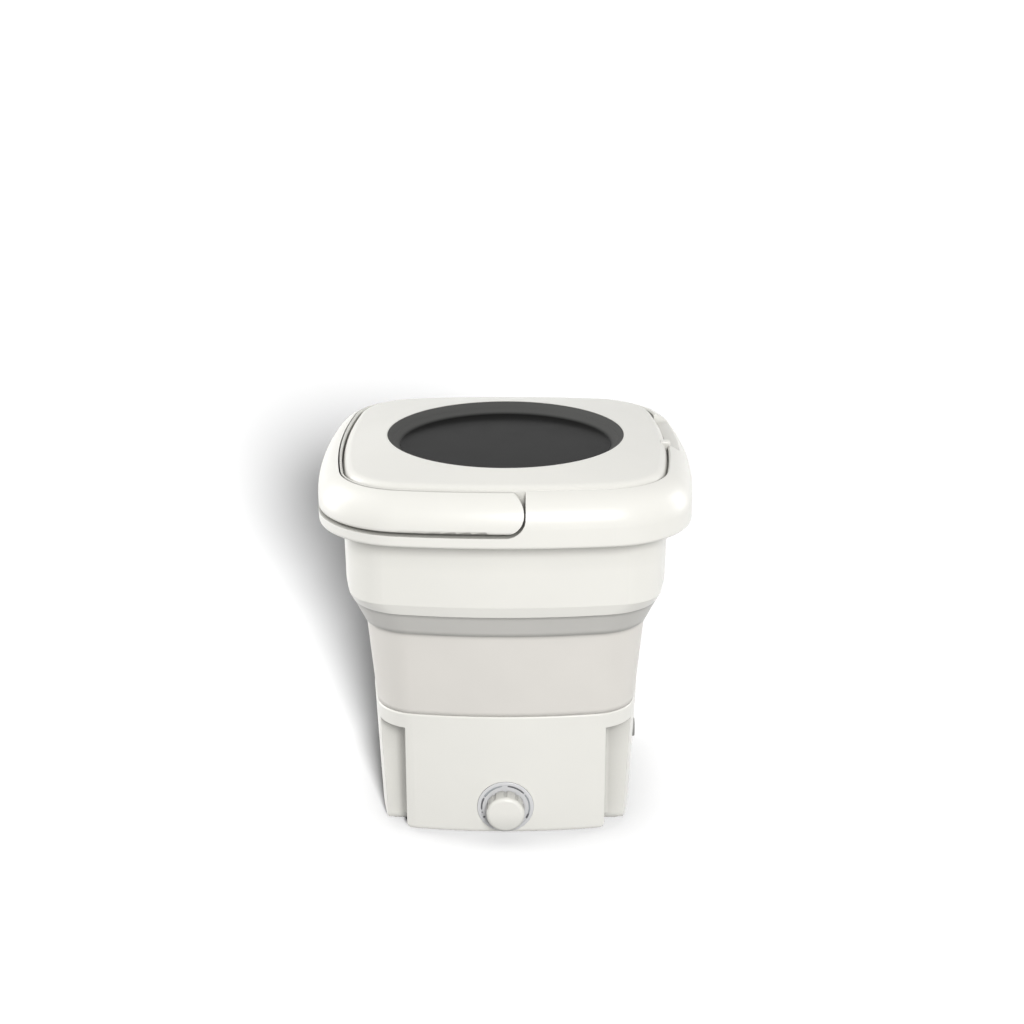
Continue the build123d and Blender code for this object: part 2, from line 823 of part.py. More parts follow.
with BuildPart() as base_shell:
    add(tray(base_plan(foot_height), foot_height, ledge_plan, ledge_z, base_foot_round))
    fillet(base_shell.edges().group_by(Axis.Z)[-1], radius=base_top_round)
    add(base_faces.part, mode=Mode.INTERSECT)
    add(channel_corners.part)
    add(base_hollow.part, mode=Mode.SUBTRACT)
    add(cross_prism(inset(cover_plan, -wall), cover_half + wall, foot_height, cover_frame_high_z))
    add(posts(cover_screw_points, screw_boss_radius, cover_seat_z, cover_seat_z + 2 * wall))
    add(
        cross_prism(inset(cover_plan, cover_lap), cover_half - cover_lap, foot_height, cover_frame_high_z),
        mode=Mode.SUBTRACT,
    )
    add(
        cross_prism(inset(cover_plan, -seat_gap), cover_half + seat_gap, foot_height, cover_seat_z),
        mode=Mode.SUBTRACT,
    )
    add(
        posts(cover_screw_points, screw_radius + bore_gap, foot_height, cover_seat_z + 2 * wall - 1),
        mode=Mode.SUBTRACT,
    )
    add(
        posts(pan_screw_points, screw_radius + fit_gap, channel_top_z - 1, channel_top_z + 2 * wall),
        mode=Mode.SUBTRACT,
    )
    with BuildSketch(dial_plane.offset(-dial_sink)):
        Circle(dial_radius + seat_gap)
    extrude(amount=2 * dial_sink, mode=Mode.SUBTRACT)
    with BuildSketch(dial_plane):
        Circle(bushing_radius + seat_gap)
    extrude(amount=2 * wall, both=True, mode=Mode.SUBTRACT)
    with BuildSketch(inlet_plane):
        Circle(inlet_radius + seat_gap)
    extrude(amount=2 * wall, both=True, mode=Mode.SUBTRACT)
    with BuildSketch(drain_plane):
        Circle(drain_radius + seat_gap)
    extrude(amount=2 * wall, both=True, mode=Mode.SUBTRACT)


# Bottom cover with its air slots, screws and feet
foot_points = [(x, y) for x in (-foot_spread, foot_spread) for y in (-foot_spread, foot_spread)]
board_points = [
    (board_x + x * (board_width / 2 - screw_boss_radius), y * (board_length / 2 - screw_boss_radius))
    for x in (-1, 1)
    for y in (-1, 1)
]

with BuildPart() as bottom_cover:
    add(cross_prism(cover_plan, cover_half, foot_height, cover_high_z))
    add(posts(board_points, screw_boss_radius, cover_high_z, board_low_z))
    add(
        posts(board_points, screw_radius + bore_gap, foot_height + 1, board_low_z),
        mode=Mode.SUBTRACT,
    )
    add(
        posts(cover_screw_points, screw_radius + fit_gap, foot_height, cover_high_z),
        mode=Mode.SUBTRACT,
    )
    add(
        posts(foot_points, foot_radius + fit_gap, foot_height, foot_height + foot_pocket),
        mode=Mode.SUBTRACT,
    )
    with BuildSketch(Plane.XY.offset(foot_height)):
        with GridLocations(2 * vent_length, vent_pitch, 2, vent_count):
            SlotOverall(vent_length, vent_width)
    extrude(amount=cover_thick, mode=Mode.SUBTRACT)

with BuildPart() as cover_screws:
    add(
        screws(
            cover_screw_points,
            foot_height - screw_head_height,
            screw_head_height + cover_thick + 1.5 * wall,
            1,
        )
    )

with BuildPart() as rubber_feet:
    add(posts(foot_points, foot_radius, 0, foot_height + foot_pocket))
    chamfer(rubber_feet.edges().group_by(Axis.Z)[0], length=foot_chamfer)


# Tub pan: the wash bowl, with a rim that holds the soft wall's lower cuff
pan_gap = lower_bore_gap + fit_gap
pan_under_z = pan_floor_z - pan_wall
shelf_high_z = pan_shelf_z + pan_wall
housing_flange_low_z = pan_under_z - fit_gap - housing_flange_thick
bracket_high_z = bracket_low_z + bracket_thick
post_low_z = bracket_high_z + fit_gap
housing_screw_points = [
    (housing_screw_radius * x / sqrt(2), housing_screw_radius * y / sqrt(2))
    for x in (-1, 1)
    for y in (-1, 1)
]
post_points = [(x, motor_y + y) for x in (-post_x, post_x) for y in (-post_y, post_y)]
bowl_foot_plan = inset(bowl_plan, bowl_draft)

with BuildPart() as bowl_bore:
    add(
        tray(
            inset(bowl_foot_plan, pan_wall),
            pan_floor_z,
            inset(bowl_plan, pan_wall),
            shelf_high_z + pan_wall,
            bowl_round,
        )
    )

with BuildPart() as bowl_form:
    add(tray(bowl_foot_plan, pan_under_z, bowl_plan, shelf_high_z, bowl_round + pan_wall))
    add(posts(post_points, post_radius, post_low_z, pan_floor_z))
    add(bowl_bore.part, mode=Mode.SUBTRACT)

with BuildPart() as tub_pan:
    add(taper(base_plan(pan_shelf_z, pan_gap), pan_shelf_z, base_plan(pan_top_z, pan_gap), pan_top_z))
    add(
        taper(
            base_plan(shelf_high_z, pan_gap + pan_wall),
            shelf_high_z,
            base_plan(pan_top_z, pan_gap + pan_wall),
            pan_top_z,
        ),
        mode=Mode.SUBTRACT,
    )
    add(posts(pan_screw_points, screw_boss_radius, pan_shelf_z, shelf_high_z + 2 * pan_wall))
    add(bowl_bore.part, mode=Mode.SUBTRACT)
    add(bowl_form.part)
    add(posts(housing_screw_points, screw_boss_radius, pan_under_z, pan_floor_z + 2 * pan_wall))
    with Locations((0, 0, pan_under_z)):
        Cylinder(hub_collar_radius, pan_wall + 2 * pan_wall, align=on_end)
        Cylinder(hub_collar_radius - pan_wall, pan_wall + 3 * pan_wall, align=on_end, mode=Mode.SUBTRACT)
    with Locations((drain_x, 0, pan_under_z)):
        Cylinder(drain_bore_radius + seat_gap, 2 * pan_wall, align=on_end, mode=Mode.SUBTRACT)
    add(
        posts(pan_screw_points, screw_radius + bore_gap, pan_shelf_z, shelf_high_z + pan_wall),
        mode=Mode.SUBTRACT,
    )
    add(
        posts(housing_screw_points, screw_radius + bore_gap, pan_under_z, pan_floor_z + pan_wall),
        mode=Mode.SUBTRACT,
    )
    add(
        posts(post_points, screw_radius + bore_gap, post_low_z, post_low_z + 4 * pan_wall),
        mode=Mode.SUBTRACT,
    )

with BuildPart() as pan_screws:
    add(
        screws(
            pan_screw_points,
            channel_top_z - screw_head_height,
            screw_head_height + wall + 1.6 * pan_wall,
            1,
        )
    )


# Timer dial ring, knob with its turning shaft, switch and nut
knob_back = dial_thick - dial_sink + knob_lift
knob_plane = dial_plane.offset(knob_back)
with BuildPart() as dial_ring:
    with BuildSketch(dial_plane.offset(-dial_sink)):
        Circle(dial_radius)
        Circle(nut_radius + seat_gap, mode=Mode.SUBTRACT)
    extrude(amount=dial_thick)
    dial_face = dial_ring.faces().sort_by(Axis.Y)[0]
    fillet(dial_face.edges().sort_by(SortBy.LENGTH)[-1], radius=dial_round)
    with BuildSketch(dial_plane.offset(dial_thick - dial_sink)):
        Circle(dial_groove_radius + dial_groove_width)
        Circle(dial_groove_radius - dial_groove_width, mode=Mode.SUBTRACT)
    extrude(amount=-dial_groove_width / 2, mode=Mode.SUBTRACT)

with BuildPart() as timer_knob:
    with BuildSketch(knob_plane):
        Circle(knob_radius)
    with BuildSketch(knob_plane.offset(knob_length - knob_back)):
        Circle(knob_face_radius)
    loft()
    fillet(timer_knob.faces().sort_by(Axis.Y)[0].edges(), radius=knob_round)
    with Locations(knob_plane):
        with PolarLocations(knob_radius + groove_radius / 3, groove_count, start_angle=90):
            Cylinder(
                groove_radius,
                knob_length - knob_back - groove_stop,
                align=on_end,
                mode=Mode.SUBTRACT,
            )
            with Locations((0, 0, knob_length - knob_back - groove_stop)):
                Sphere(groove_radius, mode=Mode.SUBTRACT)
    with BuildSketch(knob_plane):
        Circle(knob_face_radius - groove_radius - knob_wall / 2)
        Circle(switch_shaft_radius + knob_wall, mode=Mode.SUBTRACT)
    extrude(amount=knob_length - knob_back - groove_stop, mode=Mode.SUBTRACT)
    with BuildSketch(knob_plane):
        Circle(nut_radius + body_gap)
    extrude(amount=nut_thick + 2 * body_gap, mode=Mode.SUBTRACT)
    with BuildSketch(knob_plane):
        Circle(switch_shaft_radius + bore_gap)
    extrude(amount=knob_length - knob_back - groove_stop, mode=Mode.SUBTRACT)

with BuildPart() as switch_shaft:
    with BuildSketch(dial_plane.offset(-switch_depth + knob_wall)):
        Circle(switch_shaft_radius)
    extrude(amount=switch_depth - knob_wall + knob_length - groove_stop - seat_gap)

with BuildPart() as timer_switch:
    with BuildSketch(dial_plane.offset(-wall - seat_gap)):
        RectangleRounded(switch_size, switch_size, 2)
    extrude(amount=-switch_depth)
    with BuildSketch(dial_plane.offset(-wall - seat_gap)):
        Circle(bushing_radius)
    extrude(amount=wall + seat_gap + dial_thick - dial_sink + nut_thick / 2)
    with BuildSketch(dial_plane.offset(-wall - seat_gap - switch_depth)):
        with GridLocations(switch_size / 3, switch_size / 2, 3, 2):
            Rectangle(1.0, 4.0)
    extrude(amount=-5.0)
    with BuildSketch(dial_plane.offset(-switch_depth + knob_wall - fit_gap)):
        Circle(switch_shaft_radius + fit_gap)
    extrude(amount=2 * switch_depth, mode=Mode.SUBTRACT)

with BuildPart() as switch_nut:
    with BuildSketch(dial_plane):
        RegularPolygon(nut_radius, 6)
        Circle(bushing_radius + bore_gap, mode=Mode.SUBTRACT)
    extrude(amount=nut_thick)


# Pulsator, its shaft, screw and cap
hub_bore_z = pulsator_crown_z - 6.0
cap_low_z = pulsator_crown_z - 3.5
shaft_low_z = pulley_low_z - 1.0
hub_under_z = pulsator_crown_z - 2 * pulsator_edge
crown_mid_r = 0.6 * pulsator_radius
crown_mid_z = pulsator_low_z + pulsator_edge + 0.22 * (pulsator_crown_z - pulsator_low_z)

fin_outer_radius = pulsator_radius - fin_margin
fin_middle = (fin_inner_radius + fin_outer_radius) / 2
fin_length = fin_outer_radius - fin_inner_radius
hole_ring_radius = pulsator_radius - hole_margin

with BuildPart() as pulsator_fins:
    with BuildSketch(Plane.XY.offset(pulsator_low_z + pulsator_edge / 2)):
        with PolarLocations(fin_middle, fin_count):
            SlotOverall(fin_length, fin_width)
    extrude(amount=fin_high_z - pulsator_low_z - pulsator_edge / 2, taper=fin_taper)
    fillet(pulsator_fins.edges().group_by(Axis.Z)[-1], radius=fin_round)

with BuildPart() as pulsator:
    with BuildSketch(Plane.XZ):
        with BuildLine():
            Line((0, pulsator_low_z), (pulsator_hub_radius, pulsator_low_z))
            Line((pulsator_hub_radius, pulsator_low_z), (pulsator_hub_radius, hub_under_z))
            ThreePointArc(
                (pulsator_hub_radius, hub_under_z),
                (crown_mid_r, crown_mid_z - pulsator_edge),
                (pulsator_radius - pulsator_edge, pulsator_low_z),
            )
            Line((pulsator_radius - pulsator_edge, pulsator_low_z), (pulsator_radius, pulsator_low_z))
            Line((pulsator_radius, pulsator_low_z), (pulsator_radius, pulsator_low_z + pulsator_edge))
            ThreePointArc(
                (pulsator_radius, pulsator_low_z + pulsator_edge),
                (crown_mid_r, crown_mid_z),
                (1.5 * pulsator_hub_radius, pulsator_crown_z),
            )
            Line((1.5 * pulsator_hub_radius, pulsator_crown_z), (0, pulsator_crown_z))
            Line((0, pulsator_crown_z), (0, pulsator_low_z))
        make_face()
    revolve(axis=Axis.Z)
    add(pulsator_fins.part)
    with Locations((0, 0, pulsator_low_z)):
        Cylinder(shaft_radius + bore_gap, hub_bore_z - pulsator_low_z, align=on_end, mode=Mode.SUBTRACT)
        Cylinder(screw_radius + fit_gap, fin_high_z - pulsator_low_z, align=on_end, mode=Mode.SUBTRACT)
    with Locations((0, 0, cap_low_z)):
        Cylinder(cap_radius + fit_gap, fin_high_z - cap_low_z, align=on_end, mode=Mode.SUBTRACT)
    with PolarLocations(hole_ring_radius, hole_count, start_angle=30):
        Hole(hole_radius)

with BuildPart() as pulsator_screw:
    add(
        screws(
            [(0, 0)],
            cap_low_z + screw_head_height,
            screw_head_height + hub_bore_z - pulsator_low_z + 1,
            -1,
        )
    )

with BuildPart() as pulsator_cap:
    with Locations((0, 0, cap_low_z)):
        Cylinder(cap_radius, pulsator_crown_z - cap_low_z + 0.6, align=on_end)
        Cylinder(screw_head_radius + 1, screw_head_height + fit_gap, align=on_end, mode=Mode.SUBTRACT)
    fillet(pulsator_cap.edges().group_by(Axis.Z)[-1], radius=0.5)

with BuildPart() as drive_shaft:
    with Locations((0, 0, shaft_low_z)):
        Cylinder(shaft_radius, hub_bore_z - fit_gap - shaft_low_z, align=on_end)
    with Locations((0, 0, pulsator_low_z - 3)):
        Cylinder(screw_radius + bore_gap, pulsator_crown_z, align=on_end, mode=Mode.SUBTRACT)
    chamfer(drive_shaft.edges().group_by(Axis.Z)[0], length=0.5)


# Bearing housing under the bowl, two bearings and the seal above them
with BuildPart() as bearing_housing:
    with Locations((0, 0, housing_low_z)):
        Cylinder(housing_radius, pan_under_z - fit_gap - housing_low_z, align=on_end)
    with Locations((0, 0, housing_flange_low_z)):
        Cylinder(housing_flange_radius, housing_flange_thick, align=on_end)
    for rib_plane in (Plane.XZ, Plane.YZ):
        with BuildSketch(rib_plane):
            for side in (-1, 1):
                with BuildLine():
                    Polyline(
                        (side * (housing_radius - 1), housing_low_z + 6),
                        (side * (housing_radius + 1), housing_low_z + 6),
                        (side * (housing_flange_radius - 2), housing_flange_low_z + 1),
                        (side * (housing_radius - 1), housing_flange_low_z + 1),
                        close=True,
                    )
                make_face()
        extrude(amount=housing_rib_thick / 2, both=True)
    with Locations((0, 0, housing_low_z)):
        Cylinder(bearing_radius - bearing_rim, rim_half, align=on_end, mode=Mode.SUBTRACT)
        Cylinder(
            bearing_radius + bore_gap,
            lower_bearing_z + bearing_width - housing_low_z,
            align=on_end,
            mode=Mode.SUBTRACT,
        )
    with Locations((0, 0, upper_bearing_z)):
        Cylinder(bearing_radius + bore_gap, rim_half, align=on_end, mode=Mode.SUBTRACT)
    add(
        posts(housing_screw_points, screw_radius + fit_gap, housing_low_z, pan_floor_z),
        mode=Mode.SUBTRACT,
    )

with BuildPart() as housing_screws:
    add(
        screws(
            housing_screw_points,
            housing_flange_low_z - screw_head_height,
            screw_head_height + housing_flange_thick + 1.7 * pan_wall,
            1,
        )
    )


def ball_bearing(low):
    """A shielded ball bearing, closed by a shallow step on each face."""
    with BuildPart() as bearing:
        with Locations((0, 0, low)):
            Cylinder(bearing_radius, bearing_width, align=on_end)
            Cylinder(shaft_radius + bore_gap, bearing_width, align=on_end, mode=Mode.SUBTRACT)
        for step_z, step_way in ((low, 1), (low + bearing_width, -1)):
            with BuildSketch(Plane.XY.offset(step_z)):
                Circle(bearing_radius - bearing_rim)
                Circle(shaft_radius + bearing_rim, mode=Mode.SUBTRACT)
            extrude(amount=step_way * 0.4, mode=Mode.SUBTRACT)
    return bearing.part


with BuildPart() as lower_bearing:
    add(ball_bearing(lower_bearing_z))

with BuildPart() as upper_bearing:
    add(ball_bearing(upper_bearing_z))

with BuildPart() as shaft_seal:
    with Locations((0, 0, upper_bearing_z + bearing_width + fit_gap)):
        Cylinder(bearing_radius, seal_height, align=on_end)
        Cylinder(shaft_radius + fit_gap, seal_height, align=on_end, mode=Mode.SUBTRACT)
    with BuildSketch(Plane.XY.offset(upper_bearing_z + bearing_width + fit_gap + seal_height)):
        Circle(bearing_radius - bearing_rim)
        Circle(shaft_radius + bearing_rim, mode=Mode.SUBTRACT)
    extrude(amount=-seal_height / 2, mode=Mode.SUBTRACT)


# Pulleys and belt
belt_low_z = pulley_low_z + pulley_flange - 0.5
belt_width = pulley_height - 2 * pulley_flange + 1.0
belt_mid_z = pulley_low_z + pulley_height / 2


def pulley(radius, bore, hub_high):
    """A flanged belt pulley with its hub, about the Z axis."""
    groove = radius - belt_thick - 0.4
    with BuildPart() as wheel:
        with BuildSketch(Plane.XZ):
            with BuildLine():
                Polyline(
                    (0, pulley_low_z),
                    (radius, pulley_low_z),
                    (radius, pulley_low_z + pulley_flange - 1),
                    (groove, pulley_low_z + pulley_flange),
                    (groove, pulley_low_z + pulley_height - pulley_flange),
                    (radius, pulley_low_z + pulley_height - pulley_flange + 1),
                    (radius, pulley_low_z + pulley_height),
                    (bore + 2.5, pulley_low_z + pulley_height),
                    (bore + 2.5, hub_high),
                    (0, hub_high),
                    close=True,
                )
            make_face()
        revolve(axis=Axis.Z)
        with Locations((0, 0, pulley_low_z)):
            Cylinder(bore + bore_gap, rim_half, align=on_end, mode=Mode.SUBTRACT)
    return wheel.part


with BuildPart() as driven_pulley:
    add(pulley(driven_pulley_radius, shaft_radius, lower_bearing_z - fit_gap))
    for web_z, web_way in ((pulley_low_z, 1), (pulley_low_z + pulley_height, -1)):
        with BuildSketch(Plane.XY.offset(web_z)):
            Circle(driven_pulley_radius - 3 * belt_thick)
            Circle(shaft_radius + 4, mode=Mode.SUBTRACT)
        extrude(amount=web_way * 3.0, mode=Mode.SUBTRACT)
    with PolarLocations((driven_pulley_radius + shaft_radius) / 2, 6):
        Hole(4.5)

with BuildPart() as motor_pulley:
    with Locations((0, motor_y)):
        add(pulley(motor_pulley_radius, motor_shaft_radius, bracket_low_z - 1))

with BuildPart() as drive_belt:
    for gap, belt_mode in ((belt_thick + fit_gap, Mode.ADD), (fit_gap, Mode.SUBTRACT)):
        with BuildSketch(Plane.XY.offset(belt_mid_z)):
            with BuildLine():
                CenterArc((0, 0), driven_pulley_radius - belt_thick - 0.4 + gap, 0, 360)
                CenterArc((0, motor_y), motor_pulley_radius - belt_thick - 0.4 + gap, 0, 360)
            make_hull()
        extrude(amount=belt_width / 2 - 1, both=True, mode=belt_mode)


# Motor on its bracket, hung from the bowl's posts
motor_screw_points = [(x, motor_y) for x in (-motor_screw_x, motor_screw_x)]
bracket_round = post_radius + 1
motor_low_z = post_low_z
with BuildPart() as motor_can:
    with Locations((0, motor_y, motor_low_z)):
        Cylinder(motor_radius, motor_height, align=on_end)
    fillet(motor_can.edges().group_by(Axis.Z)[-1], radius=2.0)
    with Locations((0, motor_y, bracket_low_z)):
        Cylinder(motor_boss_radius, 2 * bracket_thick, align=on_end)
        Cylinder(motor_shaft_radius + fit_gap, motor_height - 3, align=on_end, mode=Mode.SUBTRACT)
    with Locations((0, motor_y, motor_low_z + motor_height)):
        with GridLocations(motor_radius / 2, 0, 2, 1):
            Box(1.0, 5.0, 3.0, align=on_end)
    add(
        posts(motor_screw_points, screw_radius + bore_gap, motor_low_z, motor_low_z + 6),
        mode=Mode.SUBTRACT,
    )

with BuildPart() as motor_shaft:
    with Locations((0, motor_y, shaft_low_z)):
        Cylinder(motor_shaft_radius, bracket_low_z + motor_height - 3 - fit_gap - shaft_low_z, align=on_end)
    chamfer(motor_shaft.edges().group_by(Axis.Z)[0], length=0.4)

with BuildPart() as motor_bracket:
    with BuildSketch(Plane.XY.offset(bracket_low_z)):
        with Locations((0, motor_y)):
            RectangleRounded(
                2 * (post_x + bracket_round),
                2 * (post_y + bracket_round),
                bracket_round,
            )
            Circle(motor_boss_radius + seat_gap, mode=Mode.SUBTRACT)
    extrude(amount=bracket_thick)
    add(
        posts(post_points + motor_screw_points, screw_radius + fit_gap, bracket_low_z, bracket_high_z),
        mode=Mode.SUBTRACT,
    )

with BuildPart() as bracket_screws:
    add(
        screws(
            post_points,
            bracket_low_z - screw_head_height,
            screw_head_height + bracket_thick + 3 * pan_wall,
            1,
        )
    )

with BuildPart() as motor_screws:
    add(
        screws(
            motor_screw_points,
            bracket_low_z - screw_head_height,
            screw_head_height + bracket_thick + 4,
            1,
        )
    )


# Drain: strainer in the bowl, elbow to the side wall, its nut and the plug
elbow_high_z = pan_under_z - fit_gap
elbow_end_x = base_plan(drain_z)[0] - seat_gap
nut_far_x = base_plan(drain_z - drain_nut_radius)[0] - wall - body_gap

with BuildPart() as drain_elbow:
    for radius, elbow_mode in ((drain_radius, Mode.ADD), (drain_bore_radius, Mode.SUBTRACT)):
        with Locations((drain_x, 0, drain_z)):
            Cylinder(radius, elbow_high_z - drain_z, align=on_end, mode=elbow_mode)
            Sphere(radius, mode=elbow_mode)
        with Locations(Location((drain_x, 0, drain_z), (0, 90, 0))):
            Cylinder(radius, elbow_end_x - drain_x, align=on_end, mode=elbow_mode)
    with BuildSketch(Plane.XY.offset(elbow_high_z)):
        with Locations((drain_x, 0)):
            Circle(drain_radius + 4)
            Circle(drain_radius - 1, mode=Mode.SUBTRACT)
    extrude(amount=-housing_flange_thick)

with BuildPart() as drain_nut:
    with BuildSketch(Plane.YZ.offset(nut_far_x)):
        with Locations((0, drain_z)):
            RegularPolygon(drain_nut_radius, 6)
            Circle(drain_radius + fit_gap, mode=Mode.SUBTRACT)
    extrude(amount=-drain_nut_thick)

with BuildPart() as drain_strainer:
    with Locations((drain_x, 0, pan_floor_z)):
        Cylinder(drain_radius + 1.5, strainer_thick, align=on_end)
    with Locations((drain_x, 0, pan_floor_z)):
        Cylinder(drain_bore_radius, pan_wall, align=(Align.CENTER, Align.CENTER, Align.MAX))
        Cylinder(
            drain_bore_radius - 1.2,
            pan_wall,
            align=(Align.CENTER, Align.CENTER, Align.MAX),
            mode=Mode.SUBTRACT,
        )
    with Locations((drain_x, 0)):
        Hole(0.9)
        with PolarLocations(drain_bore_radius / 2, 6):
            Hole(0.9)

with BuildPart() as drain_plug:
    with Locations(Location((base_plan(drain_z + plug_radius)[0] + seat_gap, 0, drain_z), (0, 90, 0))):
        Cylinder(plug_radius, plug_thick, align=on_end)
        fillet(drain_plug.edges().sort_by(Axis.X)[-1], radius=plug_round)
        Cylinder(drain_bore_radius - fit_gap, plug_stem, align=(Align.CENTER, Align.CENTER, Align.MAX))
    fillet(drain_plug.edges().sort_by(Axis.X)[0], radius=plug_round)


# Low-voltage power inlet in the back, and its nut
with BuildPart() as power_inlet:
    with BuildSketch(inlet_plane.offset(fit_gap)):
        Circle(inlet_radius + 2)
    extrude(amount=inlet_flange_thick)
    with BuildSketch(inlet_plane.offset(fit_gap)):
        Circle(inlet_radius)
    extrude(amount=-inlet_depth)
    with BuildSketch(inlet_plane.offset(fit_gap + inlet_flange_thick)):
        Circle(inlet_radius - 2)
        Circle(inlet_pin_radius, mode=Mode.SUBTRACT)
    extrude(amount=-inlet_depth + 3, mode=Mode.SUBTRACT)

with BuildPart() as inlet_nut:
    with BuildSketch(inlet_plane.offset(-wall - seat_gap)):
        RegularPolygon(inlet_radius + 3, 6)
        Circle(inlet_radius + bore_gap, mode=Mode.SUBTRACT)
    extrude(amount=-nut_thick)


# Control board on its posts
board_high_z = board_low_z + board_thick
with BuildPart() as control_board:
    with BuildSketch(Plane.XY.offset(board_low_z)):
        with Locations((board_x, 0)):
            Rectangle(board_width, board_length)
    extrude(amount=board_thick)
    for x, y, width, length, height in board_blocks:
        with Locations((board_x + x, y, board_high_z)):
            Box(width, length, height, align=on_end)
    can_x, can_y, can_radius, can_height = board_can
    with Locations((board_x + can_x, can_y, board_high_z)):
        Cylinder(can_radius, can_height, align=on_end)
    add(
        posts(board_points, screw_radius + fit_gap, board_low_z, board_high_z),
        mode=Mode.SUBTRACT,
    )

with BuildPart() as board_screws:
    add(
        screws(
            board_points,
            board_high_z + screw_head_height,
            screw_head_height + board_thick + 4,
            -1,
        )
    )


# Each node goes to its own file
nodes = {
    "rim_cover": rim_cover,
    "rim_screws": rim_screws,
    "carry_handle": carry_handle,
    "handle_inner_plate": handle_inner_plate,
    "handle_pivot_pins": handle_pivot_pins,
    "upper_collar": upper_collar,
    "upper_clamp_ring": upper_clamp_ring,
    "lid_frame": lid_frame,
    "lid_window": lid_window,
    "window_gasket": window_gasket,
    "lid_gasket": lid_gasket,
    "folding_wall": folding_wall,
    "base_shell": base_shell,
    "bottom_cover": bottom_cover,
    "cover_screws": cover_screws,
    "rubber_feet": rubber_feet,
    "tub_pan": tub_pan,
    "pan_screws": pan_screws,
    "dial_ring": dial_ring,
    "timer_knob": timer_knob,
    "switch_shaft": switch_shaft,
    "timer_switch": timer_switch,
    "switch_nut": switch_nut,
    "pulsator": pulsator,
    "pulsator_screw": pulsator_screw,
    "pulsator_cap": pulsator_cap,
    "drive_shaft": drive_shaft,
    "bearing_housing": bearing_housing,
    "housing_screws": housing_screws,
    "lower_bearing": lower_bearing,
    "upper_bearing": upper_bearing,
    "shaft_seal": shaft_seal,
    "driven_pulley": driven_pulley,
    "motor_pulley": motor_pulley,
    "drive_belt": drive_belt,
    "motor_can": motor_can,
    "motor_shaft": motor_shaft,
    "motor_bracket": motor_bracket,
    "bracket_screws": bracket_screws,
    "motor_screws": motor_screws,
    "drain_elbow": drain_elbow,
    "drain_nut": drain_nut,
    "drain_strainer": drain_strainer,
    "drain_plug": drain_plug,
    "power_inlet": power_inlet,
    "inlet_nut": inlet_nut,
    "control_board": control_board,
    "board_screws": board_screws,
}
os.makedirs("parts", exist_ok=True)
for node, piece in nodes.items():
    piece.part.label = node
    export_step(piece.part, f"parts/{node}.step")
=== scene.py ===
import math

import bmesh
import bpy
from bpy.props import FloatProperty, FloatVectorProperty, IntProperty, PointerProperty
from bpy.types import Operator, Panel, PropertyGroup
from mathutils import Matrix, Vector


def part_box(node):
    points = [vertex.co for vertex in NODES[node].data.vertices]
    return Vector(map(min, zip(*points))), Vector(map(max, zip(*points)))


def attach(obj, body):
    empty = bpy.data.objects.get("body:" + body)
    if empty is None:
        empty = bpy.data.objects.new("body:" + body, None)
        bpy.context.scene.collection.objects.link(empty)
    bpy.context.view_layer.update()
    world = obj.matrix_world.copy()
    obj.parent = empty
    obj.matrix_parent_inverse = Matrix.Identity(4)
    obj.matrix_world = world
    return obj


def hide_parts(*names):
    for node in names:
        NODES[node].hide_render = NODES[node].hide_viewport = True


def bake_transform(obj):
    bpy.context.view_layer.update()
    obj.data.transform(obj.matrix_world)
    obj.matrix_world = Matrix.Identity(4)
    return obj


bl_info = {
    "name": "Folding washer dressing",
    "version": (1, 0, 0),
    "blender": (4, 5, 0),
    "location": "3D View > Sidebar > Folding washer",
    "description": "Gives the folding washer its soft wall, dial print, finishes and studio",
    "category": "Object",
}

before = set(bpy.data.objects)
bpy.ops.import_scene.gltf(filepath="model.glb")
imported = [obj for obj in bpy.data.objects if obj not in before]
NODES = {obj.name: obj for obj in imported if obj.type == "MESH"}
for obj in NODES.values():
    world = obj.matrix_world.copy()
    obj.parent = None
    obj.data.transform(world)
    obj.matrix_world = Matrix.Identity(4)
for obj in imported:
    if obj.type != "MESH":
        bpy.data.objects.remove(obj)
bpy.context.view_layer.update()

# One millimetre
MM = 0.001

# The soft wall runs between these two pieces and is drawn from their edges
LEDGE_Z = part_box("base_shell")[1].z
COLLAR_FOOT_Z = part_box("upper_collar")[0].z
CUFF_LOW_Z, CUFF_HIGH_Z = (corner.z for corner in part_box("folding_wall"))

# The base narrows by this much for each unit of height downwards, and the dial stands on its front
BASE_TAPER = 5.2 / 105.0
FACE_LEAN = math.atan(BASE_TAPER)
DIAL_LOW, DIAL_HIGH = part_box("dial_ring")
DIAL_CENTRE_Z = (DIAL_LOW.z + DIAL_HIGH.z) / 2

# A noise pattern's values lie mostly between these
PATTERN_LOW, PATTERN_HIGH = 0.3, 0.7

# How far round each point of a surface a recess is looked for, for the shade painted into recesses
PAINTED_SHADE_REACH = 30.0 * MM


# Shapes shared by the pieces


def bowed_square(half, corner, bow, side_steps, corner_steps):
    """Points round a square with bulging sides and round corners, from the middle of the -Y side."""
    centre = bow - half
    reach = bow - corner
    nook = (math.sqrt(2 * reach**2 - centre**2) - centre) / 2
    lean = math.atan2(nook, centre + nook)
    quarter = []
    for i in range(side_steps):
        a = lean * i / side_steps
        quarter.append((bow * math.sin(a), centre - bow * math.cos(a)))
    sweep = math.pi / 2 - 2 * lean
    for i in range(corner_steps):
        a = lean + sweep * i / corner_steps
        quarter.append((nook + corner * math.sin(a), -nook - corner * math.cos(a)))
    for i in range(side_steps):
        a = lean * (1 - i / side_steps)
        quarter.append((bow * math.cos(a) - centre, -bow * math.sin(a)))
    ring = []
    for turn in range(4):
        for x, y in quarter:
            for _ in range(turn):
                x, y = -y, x
            ring.append((x, y))
    return ring


